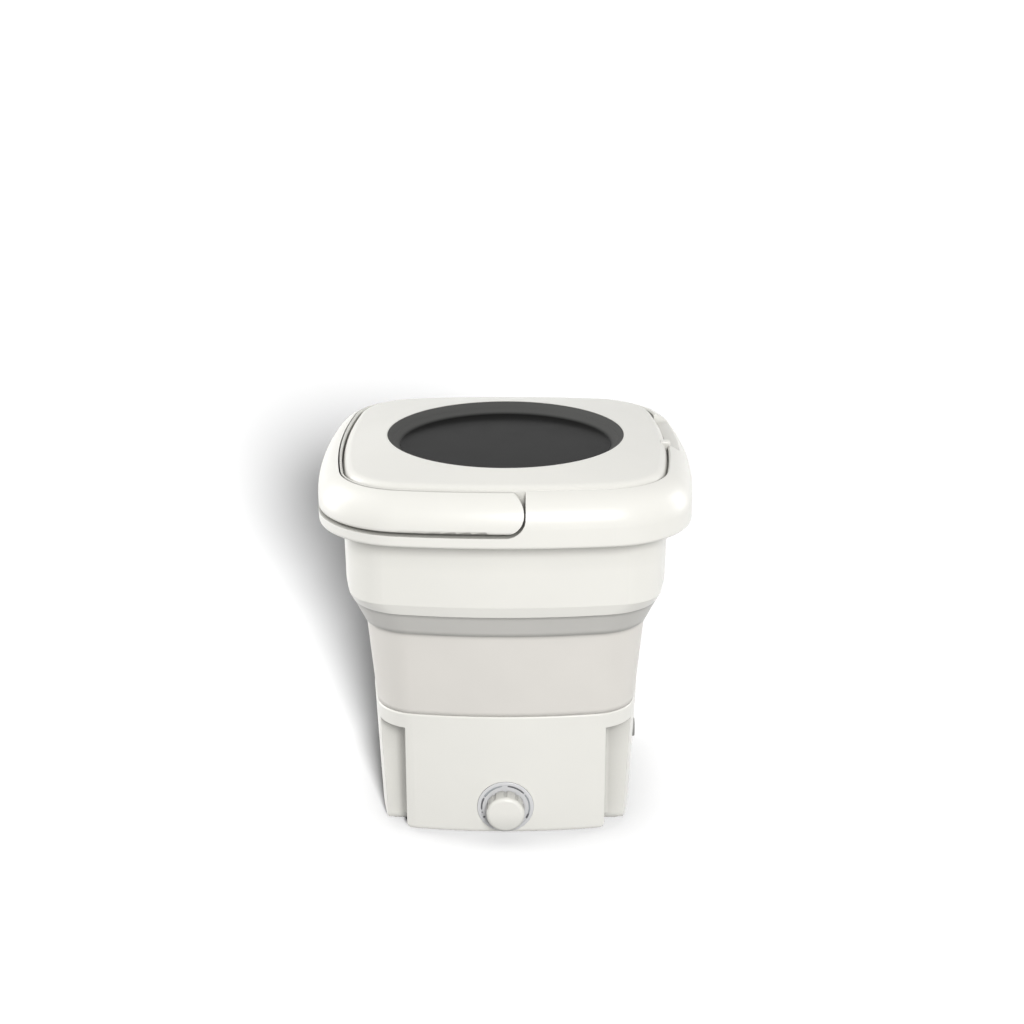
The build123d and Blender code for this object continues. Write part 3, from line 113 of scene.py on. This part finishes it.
def mesh_object(name, mesh_maker):
    """A new object whose mesh is made by mesh_maker(bm)."""
    bm = bmesh.new()
    mesh_maker(bm)
    bmesh.ops.recalc_face_normals(bm, faces=bm.faces)
    mesh = bpy.data.meshes.new(name)
    bm.to_mesh(mesh)
    bm.free()
    mesh.polygons.foreach_set("use_smooth", [True] * len(mesh.polygons))
    piece = bpy.data.objects.new(name, mesh)
    bpy.context.scene.collection.objects.link(piece)
    return piece


def skin_rings(bm, rings):
    """Faces between each ring of points and the next, and from the last to the first."""
    rows = [[bm.verts.new(point) for point in ring] for ring in rings]
    for low, high in zip(rows, rows[1:] + rows[:1]):
        count = len(low)
        for i in range(count):
            j = (i + 1) % count
            bm.faces.new((low[i], low[j], high[j], high[i]))


def rounded_profile(points, steps=6):
    """Points of a closed profile whose corners are rounded; each point is (values, radius)."""
    # A corner takes up less than half of the shorter run beside it
    most = 0.45
    out = []
    count = len(points)
    for i, (here, radius) in enumerate(points):
        before = points[i - 1][0]
        after = points[(i + 1) % count][0]
        if radius == 0:
            out.append(here)
            continue
        back, ahead = before - here, after - here
        reach_back = min(radius, back.length * most)
        reach_ahead = min(radius, ahead.length * most)
        start = here + back.normalized() * reach_back
        end = here + ahead.normalized() * reach_ahead
        for k in range(steps + 1):
            t = k / steps
            out.append(start * (1 - t) ** 2 + here * 2 * t * (1 - t) + end * t**2)
    return out


# Finishes


def shown_rays(tree):
    """1 for the rays that show the floor or the world, 0 for those that only carry its light."""
    path = tree.nodes.new("ShaderNodeLightPath")
    total = path.outputs["Is Camera Ray"]
    for kind in ("Is Glossy Ray", "Is Transmission Ray"):
        either = tree.nodes.new("ShaderNodeMath")
        either.operation = "MAXIMUM"
        tree.links.new(total, either.inputs[0])
        tree.links.new(path.outputs[kind], either.inputs[1])
        total = either.outputs[0]
    return total


class Nodes:
    """A short way to add and join the nodes of one material."""

    def __init__(self, name):
        self.material = bpy.data.materials.new(name)
        self.material.use_nodes = True
        self.tree = self.material.node_tree
        self.shader = self.tree.nodes["Principled BSDF"]
        self.where = self.tree.nodes.new("ShaderNodeTexCoord").outputs["Object"]

    def add(self, kind, **settings):
        node = self.tree.nodes.new(kind)
        for name, value in settings.items():
            setattr(node, name, value)
        return node

    def join(self, source, target):
        self.tree.links.new(source, target)

    def spread(self, source, interpolation="LINEAR", **limits):
        """A Map Range node on a source; limits are its inputs, such as To_Max."""
        node = self.add("ShaderNodeMapRange", interpolation_type=interpolation)
        for name, value in limits.items():
            node.inputs[name.replace("_", " ")].default_value = value
        self.join(source, node.inputs["Value"])
        return node

    def constants(self, **values):
        for name, value in values.items():
            self.shader.inputs[name.replace("_", " ")].default_value = value

    def noise(self, scale, detail=3.0, stretch=(1, 1, 1)):
        place = self.add("ShaderNodeMapping")
        place.inputs["Scale"].default_value = stretch
        self.join(self.where, place.inputs["Vector"])
        node = self.add("ShaderNodeTexNoise")
        node.inputs["Scale"].default_value = scale
        node.inputs["Detail"].default_value = detail
        self.join(place.outputs[0], node.inputs["Vector"])
        return node.outputs["Fac"]

    def between(self, source, low, high, target):
        """Spread a pattern over low to high on a socket."""
        node = self.spread(source, From_Min=PATTERN_LOW, From_Max=PATTERN_HIGH, To_Min=low, To_Max=high)
        self.join(node.outputs[0], target)

    def tint(self, source, colour, change, target, painted_recess_shade=0.0, own=False):
        """Vary a colour slightly, darker to lighter by change, and paint shade into it in recesses.

        With own, only recesses in the piece itself get painted shade, and not those beside other pieces.
        """
        ramp = self.add("ShaderNodeValToRGB")
        dark, light = ramp.color_ramp.elements
        dark.position, light.position = PATTERN_LOW, PATTERN_HIGH
        dark.color = (*[c * (1 - change) for c in colour], 1)
        light.color = (*[min(1, c * (1 + change)) for c in colour], 1)
        self.join(source, ramp.inputs[0])
        if not painted_recess_shade:
            self.join(ramp.outputs[0], target)
            return
        # Painted shade: an ambient occlusion node darkens the colour in recesses and under overhangs
        shade_occlusion = self.add("ShaderNodeAmbientOcclusion", samples=12, only_local=own)
        shade_occlusion.inputs["Distance"].default_value = PAINTED_SHADE_REACH
        self.join(ramp.outputs[0], shade_occlusion.inputs["Color"])
        paint_shade = self.add("ShaderNodeMix", data_type="RGBA")
        paint_shade.inputs["Factor"].default_value = painted_recess_shade
        # A Mix node's colour sockets: 6 and 7 come in, 2 goes out
        self.join(ramp.outputs[0], paint_shade.inputs[6])
        self.join(shade_occlusion.outputs["Color"], paint_shade.inputs[7])
        self.join(paint_shade.outputs[2], target)

    def relief(self, source, depth, strength, edge=0.0):
        """Bump from a pattern, over edges softened by a radius."""
        bump = self.add("ShaderNodeBump")
        bump.inputs["Distance"].default_value = depth
        bump.inputs["Strength"].default_value = strength
        self.join(source, bump.inputs["Height"])
        if edge:
            soften = self.add("ShaderNodeBevel", samples=4)
            soften.inputs["Radius"].default_value = edge
            self.join(soften.outputs[0], bump.inputs["Normal"])
        self.join(bump.outputs[0], self.shader.inputs["Normal"])


def moulded(name, colour, rough=(0.3, 0.38), grain=900.0, edge=0.5 * MM, painted_recess_shade=0.0, own=False):
    """Moulded plastic: even colour with painted shade in recesses where asked, a faint orange-peel skin
    and a roughness that drifts.
    """
    n = Nodes(name)
    n.tint(n.noise(14.0), colour, 0.012, n.shader.inputs["Base Color"], painted_recess_shade, own)
    n.between(n.noise(60.0), *rough, n.shader.inputs["Roughness"])
    n.relief(n.noise(grain, 2.0), depth=0.04 * MM, strength=0.3, edge=edge)
    return n.material


def turned_metal(name, colour, rough=(0.24, 0.4), stretch=(1, 1, 30)):
    """Metal with fine tool marks round its axis."""
    n = Nodes(name)
    marks = n.noise(300.0, 4.0, stretch)
    n.tint(marks, colour, 0.06, n.shader.inputs["Base Color"])
    n.between(marks, *rough, n.shader.inputs["Roughness"])
    n.relief(marks, depth=0.03 * MM, strength=0.4, edge=0.2 * MM)
    n.constants(Metallic=1.0)
    return n.material


def rubber(name, colour, rough=(0.6, 0.75), grain=1600.0):
    """Matt rubber with a fine dusty skin."""
    n = Nodes(name)
    n.tint(n.noise(40.0), colour, 0.05, n.shader.inputs["Base Color"])
    n.between(n.noise(120.0), *rough, n.shader.inputs["Roughness"])
    n.relief(n.noise(grain, 2.0), depth=0.05 * MM, strength=0.4, edge=0.3 * MM)
    n.constants(Specular_IOR_Level=0.35)
    return n.material


def dress(node_names, material):
    """Put one finish on carried-over pieces."""
    for name in node_names:
        slots = NODES[name].data.materials
        slots.clear()
        slots.append(material)


# Settings that a user would change


class WasherWallSettings(PropertyGroup):
    """Shape and colour of the soft folding wall."""

    thickness: FloatProperty(
        name="Wall thickness",
        description="Thickness of the soft wall at its ends",
        default=2.4 * MM,
        unit="LENGTH",
    )
    middle_thickness: FloatProperty(
        name="Fold thickness",
        description="Thickness where the wall folds over",
        default=1.5 * MM,
        unit="LENGTH",
    )
    crease_round: FloatProperty(
        name="Crease rounding",
        description="Rounding of the crease under the shoulder",
        default=2.2 * MM,
        unit="LENGTH",
    )
    side_steps: IntProperty(
        name="Side steps",
        description="Points along half of each side",
        default=16,
        min=2,
    )
    corner_steps: IntProperty(
        name="Corner steps",
        description="Points round each corner",
        default=20,
        min=2,
    )
    colour: FloatVectorProperty(
        name="Colour",
        description="Colour of the soft wall",
        subtype="COLOR",
        default=(0.76, 0.735, 0.69),
    )
    # Painted shade: the shoulder faces down, and its colour is darkened for the shade that falls there
    shoulder_shade_colour: FloatVectorProperty(
        name="Shoulder",
        description="Colour of the wall's steep shoulder",
        subtype="COLOR",
        default=(0.6, 0.59, 0.56),
    )


class WasherFinishSettings(PropertyGroup):
    """Colours of the plastics."""

    shell: FloatVectorProperty(
        name="Shell",
        description="Colour of the pale mouldings",
        subtype="COLOR",
        default=(0.85, 0.84, 0.79),
    )
    window: FloatVectorProperty(
        name="Window",
        description="Colour of the dark window",
        subtype="COLOR",
        default=(0.003, 0.003, 0.003),
    )
    window_wall: FloatVectorProperty(
        name="Window wall",
        description="Colour of the window's flared wall",
        subtype="COLOR",
        default=(0.095, 0.095, 0.092),
    )
    ring: FloatVectorProperty(
        name="Dial ring",
        description="Colour of the dial ring",
        subtype="COLOR",
        default=(0.74, 0.74, 0.75),
    )
    print_ink: FloatVectorProperty(
        name="Dial print",
        description="Colour of the dial's time marks",
        subtype="COLOR",
        default=(0.14, 0.14, 0.15),
    )
    faint_ink: FloatVectorProperty(
        name="Faint print",
        description="Colour of the dial's lighter marks",
        subtype="COLOR",
        default=(0.36, 0.38, 0.4),
    )


class WasherStudioSettings(PropertyGroup):
    """Floor and lamps."""

    key: FloatProperty(
        name="Key lamp",
        description="Power of the front lamp",
        default=52.0,
        subtype="POWER",
    )
    top: FloatProperty(
        name="Top lamp",
        description="Power of the lamp above",
        default=2.5,
        subtype="POWER",
    )
    left: FloatProperty(
        name="Left strip",
        description="Power of the strip lamp on the left",
        default=16.0,
        subtype="POWER",
    )
    right: FloatProperty(
        name="Right strip",
        description="Power of the strip lamp on the right",
        default=7.5,
        subtype="POWER",
    )
    world: FloatProperty(
        name="Surroundings",
        description="Strength of the light from all round",
        default=0.37,
    )
    floor: FloatProperty(
        name="Floor",
        description="Brightness of the floor as the camera sees it",
        default=0.265,
    )
    bounce: FloatProperty(
        name="Floor bounce",
        description="Brightness of the floor as the washer sees it",
        default=0.1,
    )
    floor_sun: FloatProperty(
        name="Floor sun",
        description="Strength of the light on the floor alone",
        default=33.0,
    )
    sun_height: FloatProperty(
        name="Floor sun height",
        description="Height of that light over the floor",
        default=math.radians(17.5),
        unit="ROTATION",
    )


# Pieces


class WASHER_OT_folding_wall(Operator):
    """Make the soft wall at rest, the one that on the washer turns inside out when it is pushed down"""

    bl_idname = "washer.folding_wall"
    bl_label = "Folding wall"

    def execute(self, context):
        s = context.scene.washer_wall
        # Half width, corner radius and side bow of the wall's outline at its foot, top and shoulder
        ledge = Vector((109.4, 36.0, 440.0)) * MM
        foot = Vector((127.2, 48.0, 480.0)) * MM
        shoulder = ledge + Vector((1, 1, 1)) * 7.7 * MM
        shoulder_z = 179.0 * MM
        join_gap = 0.05 * MM
        low_z = LEDGE_Z + join_gap
        high_z = COLLAR_FOOT_Z - join_gap
        # How far the band and the two cuffs lie inside the outlines of the base and the collar
        ledge_inset, foot_inset = 0.8 * MM, 0.15 * MM
        t, thin, crease = s.thickness, s.middle_thickness, s.crease_round
        lower_cuff, upper_cuff, cuff_thick = 2.65 * MM, t + 0.3 * MM, 2.0 * MM
        # Radii of the cuffs' tips, of the bends into them, and of the band's outer edges
        tip, bend = 0.4 * MM, 0.8 * MM
        low_edge, high_edge = 0.25 * MM, 0.7 * MM

        def plan(base, inset, z):
            # A profile point holds the plan's three values and its height
            return Vector((base.x - inset, base.y - inset, base.z - inset, z))

        def base_plan(z, inset):
            return plan(ledge, BASE_TAPER * (LEDGE_Z - z) + inset, z)

        lip_z = high_z - t
        lip = shoulder.lerp(foot, (lip_z - shoulder_z) / (high_z - shoulder_z))
        outer_foot = plan(ledge, ledge_inset, low_z)
        outer_shoulder = plan(shoulder, 0.0, shoulder_z)
        # The wall has thinned over the first part of its rise from the ledge
        thinned = outer_foot.lerp(outer_shoulder, 0.55) - Vector((thin, thin, thin, 0))
        profile = [
            (base_plan(CUFF_LOW_Z, lower_cuff), tip),
            (base_plan(low_z, lower_cuff), 0.0),
            (outer_foot, low_edge),
            (outer_shoulder, crease),
            (plan(foot, foot_inset, high_z), high_edge),
            (plan(foot, upper_cuff, high_z), 0.0),
            (plan(foot, upper_cuff, CUFF_HIGH_Z), tip),
            (plan(foot, upper_cuff + cuff_thick, CUFF_HIGH_Z), tip),
            (plan(foot, upper_cuff + cuff_thick, lip_z), bend),
            (plan(lip, thin, lip_z), 0.0),
            (plan(shoulder, thin, shoulder_z), crease),
            (thinned, 0.0),
            (plan(ledge, t + ledge_inset, low_z + t), bend),
            (base_plan(low_z + t, lower_cuff + cuff_thick), 0.0),
            (base_plan(CUFF_LOW_Z, lower_cuff + cuff_thick), tip),
        ]
        points = rounded_profile(profile)
        # Long straight runs are divided, so that the wall bends smoothly
        run = 4.0 * MM
        dense = []
        for here, after in zip(points, points[1:] + points[:1]):
            parts = max(1, round(abs(after.w - here.w) / run))
            dense += [here.lerp(after, k / parts) for k in range(parts)]

        def make(bm):
            rings = []
            for half, corner, bow, z in dense:
                ring = bowed_square(half, corner, bow, s.side_steps, s.corner_steps)
                rings.append([(x, y, z) for x, y in ring])
            skin_rings(bm, rings)

        wall = mesh_object("soft_wall", make)
        for name, colour in (("soft_wall_silicone", s.colour), ("soft_wall_shoulder_shade", s.shoulder_shade_colour)):
            n = Nodes(name)
            # Painted shade in the wall's recesses and beside the pieces around it
            n.tint(n.noise(18.0), tuple(colour), 0.015, n.shader.inputs["Base Color"], painted_recess_shade=0.45)
            n.between(n.noise(90.0), 0.42, 0.55, n.shader.inputs["Roughness"])
            n.relief(n.noise(2200.0, 2.0), depth=0.03 * MM, strength=0.25)
            n.constants(Specular_IOR_Level=0.4, Sheen_Weight=0.05, Sheen_Roughness=0.4)
            wall.data.materials.append(n.material)
        # The shoulder's outer faces, which face down, get the darker colour as painted shade, clear of its
        # rounded edges
        shade_low, shade_high = shoulder_z + 0.4 * MM, high_z - 0.3 * MM
        for face in wall.data.polygons:
            x, y, z = face.center
            outward = x * face.normal.x + y * face.normal.y > 0
            if outward and shade_low < z < shade_high:
                face.material_index = 1
        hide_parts("folding_wall")
        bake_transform(wall)
        return {"FINISHED"}


class WASHER_OT_dial_print(Operator):
    """Print the time marks round the dial ring"""

    bl_idname = "washer.dial_print"
    bl_label = "Dial print"

    def execute(self, context):
        s = context.scene.washer_finish
        # Start and end, in degrees clockwise from the top, and half-width in mm at each end
        dark = (
            (-119.5, -114.5, 1.0, 1.0),
            (-105.5, -102.5, 0.6, 0.6),
            (-96.0, -64.0, 0.5, 0.8),
            (5.0, 49.0, 0.8, 0.6),
            (107.0, 121.0, 0.7, 0.9),
        )
        faint = ((-60.0, -8.0, 0.9, 0.5), (54.0, 107.0, 0.5, 0.6))
        axis = Vector((0, -math.cos(FACE_LEAN), -math.sin(FACE_LEAN)))
        up = Vector((0, -math.sin(FACE_LEAN), math.cos(FACE_LEAN)))
        right = Vector((1, 0, 0))
        ring_proud = 0.8 * MM
        middle = Vector((0, (DIAL_LOW.y + DIAL_HIGH.y) / 2, DIAL_CENTRE_Z)) + axis * ring_proud
        radius = 19.3 * MM
        height = 0.12 * MM
        step_angle = 3.0
        # Share of its width, squared, that a mark keeps at its very tip
        tip_share = 0.15

        def make(bm, marks):
            for start, end, wide_start, wide_end in marks:
                steps = max(4, round((end - start) / step_angle))
                rows = []
                for i in range(steps + 1):
                    share = i / steps
                    a = math.radians(start + (end - start) * share)
                    half = (wide_start + (wide_end - wide_start) * share) * MM
                    # Both ends are drawn in to a round tip
                    tip = min(share, 1 - share) * math.radians(end - start) * radius
                    half *= math.sqrt(min(1.0, tip_share + tip / half))
                    out = right * math.sin(a) + up * math.cos(a)
                    shade_occlusion = ((-half, 0), (-half, height), (half, height), (half, 0))
                    places = [middle + out * (radius + d) + axis * h for d, h in shade_occlusion]
                    rows.append([bm.verts.new(place) for place in places])
                for low, high in zip(rows, rows[1:]):
                    for k in range(4):
                        j = (k + 1) % 4
                        bm.faces.new((low[k], low[j], high[j], high[k]))
                bm.faces.new(rows[0])
                bm.faces.new(rows[-1])

        prints = (("dial_marks", dark, s.print_ink), ("dial_marks_faint", faint, s.faint_ink))
        for name, marks, colour in prints:
            piece = mesh_object(name, lambda bm, marks=marks: make(bm, marks))
            ink = moulded(name + "_ink", tuple(colour), rough=(0.4, 0.5), edge=0.0)
            piece.data.materials.append(ink)
            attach(piece, "base")
        return {"FINISHED"}


class WASHER_OT_mouldings(Operator):
    """Finish the pale mouldings and the grey ones"""

    bl_idname = "washer.mouldings"
    bl_label = "Mouldings"

    def execute(self, context):
        s = context.scene.washer_finish
        shell, ring_colour = tuple(s.shell), tuple(s.ring)
        # Painted shade in recesses, and on the collar under the rim's overhang
        pale = moulded("pale_moulding", shell, painted_recess_shade=0.4)
        dress(("rim_cover", "upper_collar", "upper_clamp_ring"), pale)
        dress(("lid_frame", "bottom_cover", "tub_pan"), pale)
        # The base gets painted shade in its own corner channels and not towards the floor
        base = moulded("base_moulding", shell, painted_recess_shade=0.8, own=True)
        dress(("base_shell",), base)
        # The handle's thin lower edge shades best unsoftened, and with the edge of its shade moved back
        # Painted shade in the handle's recesses
        handle = moulded("handle_moulding", shell, edge=0.0, painted_recess_shade=0.4)
        dress(("carry_handle", "handle_inner_plate"), handle)
        NODES["carry_handle"].cycles.shadow_terminator_geometry_offset = 0.3
        NODES["carry_handle"].cycles.shadow_terminator_offset = 0.2
        # Painted shade deep in the knob's grooves
        knob = moulded("knob_moulding", shell, grain=1300.0, edge=0.3 * MM, painted_recess_shade=0.85)
        dress(("timer_knob",), knob)
        # A lighter painted shade in the dial ring's recesses
        ring = moulded("dial_ring_satin", ring_colour, rough=(0.28, 0.36), edge=0.3 * MM, painted_recess_shade=0.3)
        dress(("dial_ring",), ring)
        grey = moulded("grey_moulding", (0.5, 0.5, 0.49), rough=(0.4, 0.5), grain=1400.0)
        dress(("pulsator", "pulsator_cap", "driven_pulley", "drain_elbow", "drain_nut"), grey)
        black = moulded("black_moulding", (0.02, 0.02, 0.02), rough=(0.4, 0.5), edge=0.3 * MM)
        dress(("timer_switch", "power_inlet"), black)
        return {"FINISHED"}


class WASHER_OT_window(Operator):
    """Finish the dark window in the lid"""

    bl_idname = "washer.window"
    bl_label = "Lid window"

    def execute(self, context):
        s = context.scene.washer_finish
        n = Nodes("smoked_window")
        # The disc is polished and deep; its flared wall, from these heights up, is lighter and frosted
        under_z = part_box("lid_window")[0].z
        wall_from, wall_full = under_z + 1.6 * MM, under_z + 4.5 * MM
        split = n.add("ShaderNodeSeparateXYZ")
        n.join(n.where, split.inputs[0])
        wall = n.spread(split.outputs["Z"], "SMOOTHSTEP", From_Min=wall_from, From_Max=wall_full)
        ramp = n.add("ShaderNodeValToRGB")
        ramp.color_ramp.elements[0].color = (*s.window, 1)
        ramp.color_ramp.elements[1].color = (*s.window_wall, 1)
        n.join(wall.outputs[0], ramp.inputs[0])
        n.join(ramp.outputs[0], n.shader.inputs["Base Color"])
        frost = n.spread(wall.outputs[0], To_Max=0.5)
        n.between(n.noise(45.0), 0.14, 0.2, frost.inputs["To Min"])
        n.join(frost.outputs[0], n.shader.inputs["Roughness"])
        n.relief(n.noise(260.0, 2.0), depth=0.02 * MM, strength=0.15, edge=0.6 * MM)
        n.constants(Specular_IOR_Level=0.018)
        dress(("lid_window",), n.material)
        return {"FINISHED"}


class WASHER_OT_rubber_parts(Operator):
    """Finish the gaskets, feet, seal, plug and belt"""

    bl_idname = "washer.rubber_parts"
    bl_label = "Rubber parts"

    def execute(self, context):
        seals = ("window_gasket", "lid_gasket", "shaft_seal", "drain_plug")
        dress(seals, rubber("seal_grey", (0.27, 0.27, 0.26)))
        dress(("rubber_feet",), rubber("foot_grey", (0.06, 0.06, 0.06)))
        dress(("drive_belt",), rubber("belt_black", (0.012, 0.012, 0.012), (0.5, 0.65), 2400.0))
        return {"FINISHED"}


class WASHER_OT_metal_parts(Operator):
    """Finish the screws, pins, shafts, bearings, motor and board"""

    bl_idname = "washer.metal_parts"
    bl_label = "Metal and board"

    def execute(self, context):
        steel = turned_metal("turned_steel", (0.56, 0.56, 0.56))
        dress([name for name in NODES if name.endswith("_screws")], steel)
        dress(("pulsator_screw", "switch_nut", "inlet_nut", "handle_pivot_pins", "drain_strainer"), steel)
        dress(("drive_shaft", "motor_shaft", "lower_bearing", "upper_bearing"), steel)
        dress(("switch_shaft",), turned_metal("turned_brass", (0.62, 0.44, 0.18)))
        dress(
            ("bearing_housing", "motor_pulley"),
            turned_metal("cast_alloy", (0.58, 0.58, 0.58), (0.4, 0.55), (1, 1, 1)),
        )
        dress(
            ("motor_can", "motor_bracket"),
            turned_metal("zinc_plate", (0.52, 0.53, 0.53), (0.3, 0.42), (4, 1, 1)),
        )
        dress(("control_board",), moulded("board_lacquer", (0.02, 0.12, 0.05), rough=(0.3, 0.4), edge=0.0))
        return {"FINISHED"}


class WASHER_OT_studio(Operator):
    """Set up the pale floor, soft lamps and camera"""

    bl_idname = "washer.studio"
    bl_label = "Studio"

    def execute(self, context):
        s = context.scene.washer_studio
        scene = context.scene
        scene.view_settings.view_transform = "Standard"
        self.floor(s)
        self.world(scene, s)
        self.lamps(scene, s)
        self.camera(scene)
        return {"FINISHED"}

    def floor(self, s):
        half = 12.0

        def make(bm):
            signs = ((-1, -1), (1, -1), (1, 1), (-1, 1))
            bm.faces.new([bm.verts.new((x * half, y * half, 0)) for x, y in signs])

        floor = mesh_object("studio_floor", make)
        n = Nodes("studio_floor_white")
        n.constants(Roughness=0.9, Specular_IOR_Level=0.0, Emission_Color=(1, 1, 1, 1))
        # The floor lights the washer as a mid grey and is seen as a pale one, with a painted contact
        # shadow where the feet touch
        seen = shown_rays(n.tree)
        contact_occlusion = n.add("ShaderNodeAmbientOcclusion", samples=8)
        contact_occlusion.inputs["Distance"].default_value = 0.05
        painted_contact_shadow = n.spread(contact_occlusion.outputs["AO"], From_Min=0.5, To_Min=0.78 * s.floor, To_Max=s.floor)
        shade = n.spread(seen, To_Min=s.bounce)
        n.join(painted_contact_shadow.outputs[0], shade.inputs["To Max"])
        n.join(shade.outputs[0], n.shader.inputs["Base Color"])
        # Far off it glows a little, so that it meets the white of the world
        away = n.add("ShaderNodeVectorMath", operation="LENGTH")
        n.join(n.where, away.inputs[0])
        far = n.spread(away.outputs["Value"], "SMOOTHSTEP", From_Min=1.2, From_Max=3.2, To_Max=0.5)
        glow = n.add("ShaderNodeMath", operation="MULTIPLY")
        n.join(far.outputs[0], glow.inputs[0])
        n.join(seen, glow.inputs[1])
        n.join(glow.outputs[0], n.shader.inputs["Emission Strength"])
        floor.data.materials.append(n.material)

    def world(self, scene, s):
        world = bpy.data.worlds.new("studio_white")
        scene.world = world
        world.use_nodes = True
        tree = world.node_tree
        light = tree.nodes["Background"]
        light.inputs["Color"].default_value = (1, 1, 1, 1)
        level = tree.nodes.new("ShaderNodeMapRange")
        level.inputs["To Min"].default_value = s.world
        level.inputs["To Max"].default_value = 1.0
        tree.links.new(shown_rays(tree), level.inputs["Value"])
        tree.links.new(level.outputs[0], light.inputs["Strength"])

    def lamps(self, scene, s):
        def add_lamp(name, kind, power, heading):
            lamp = bpy.data.objects.new(name, bpy.data.lights.new(name, kind))
            lamp.data.energy = power
            lamp.rotation_euler = heading.to_track_quat("-Z", "Y").to_euler()
            scene.collection.objects.link(lamp)
            return lamp

        target = Vector((0, 0, 0.17))
        # Name, place, width, height, power
        areas = (
            ("key_lamp", (0.55, -2.45, 1.45), 0.8, 1.0, s.key),
            ("top_lamp", (-1.2, 0.2, 1.5), 1.0, 1.0, s.top),
            ("left_strip", (-1.45, 0.5, 0.65), 0.6, 1.2, s.left),
            ("right_strip", (1.5, 0.6, 0.45), 0.5, 0.9, s.right),
        )
        for name, place, width, height, power in areas:
            lamp = add_lamp(name, "AREA", power, target - Vector(place))
            lamp.location = place
            lamp.data.shape = "RECTANGLE"
            lamp.data.size = width
            lamp.data.size_y = height
        # This light reaches the floor alone, and gives the washer's shadow there its depth
        softness = math.radians(10)
        floor_only = bpy.data.collections.new("floor_only")
        floor_only.objects.link(bpy.data.objects["studio_floor"])
        heading = Vector((-0.17, 0.985, -math.tan(s.sun_height)))
        sun = add_lamp("floor_sun", "SUN", s.floor_sun, heading)
        sun.data.angle = softness
        sun.light_linking.receiver_collection = floor_only

    def camera(self, scene):
        data = bpy.data.cameras.new("studio_camera")
        data.lens = 67.95
        data.sensor_width = 36.0
        camera = bpy.data.objects.new("studio_camera", data)
        scene.collection.objects.link(camera)
        camera.location = (0.0052, -1.5024, 0.7517)
        downward = math.radians(18.77)
        camera.rotation_euler = (math.pi / 2 - downward, 0, 0)
        scene.camera = camera


class VIEW3D_PT_folding_washer(Panel):
    """Lists the washer's pieces and settings"""

    bl_label = "Folding washer"
    bl_idname = "VIEW3D_PT_folding_washer"
    bl_space_type = "VIEW_3D"
    bl_region_type = "UI"
    bl_category = "Folding washer"

    def draw(self, context):
        scene = context.scene
        groups = (scene.washer_wall, scene.washer_finish, scene.washer_studio)
        for group in groups:
            box = self.layout.box()
            for name in group.__annotations__:
                box.prop(group, name)
        for operator in OPERATORS:
            self.layout.operator(operator.bl_idname)


SETTINGS = {
    "washer_wall": WasherWallSettings,
    "washer_finish": WasherFinishSettings,
    "washer_studio": WasherStudioSettings,
}
OPERATORS = (
    WASHER_OT_folding_wall,
    WASHER_OT_dial_print,
    WASHER_OT_mouldings,
    WASHER_OT_window,
    WASHER_OT_rubber_parts,
    WASHER_OT_metal_parts,
    WASHER_OT_studio,
)


def register():
    for cls in (*SETTINGS.values(), *OPERATORS, VIEW3D_PT_folding_washer):
        bpy.utils.register_class(cls)
    for name, cls in SETTINGS.items():
        setattr(bpy.types.Scene, name, PointerProperty(type=cls))


def unregister():
    for name in SETTINGS:
        delattr(bpy.types.Scene, name)
    for cls in (VIEW3D_PT_folding_washer, *reversed(OPERATORS), *SETTINGS.values()):
        bpy.utils.unregister_class(cls)


def main():
    register()
    bpy.ops.washer.folding_wall()
    bpy.ops.washer.dial_print()
    bpy.ops.washer.mouldings()
    bpy.ops.washer.window()
    bpy.ops.washer.rubber_parts()
    bpy.ops.washer.metal_parts()
    bpy.ops.washer.studio()


if __name__ == "__main__":
    main()
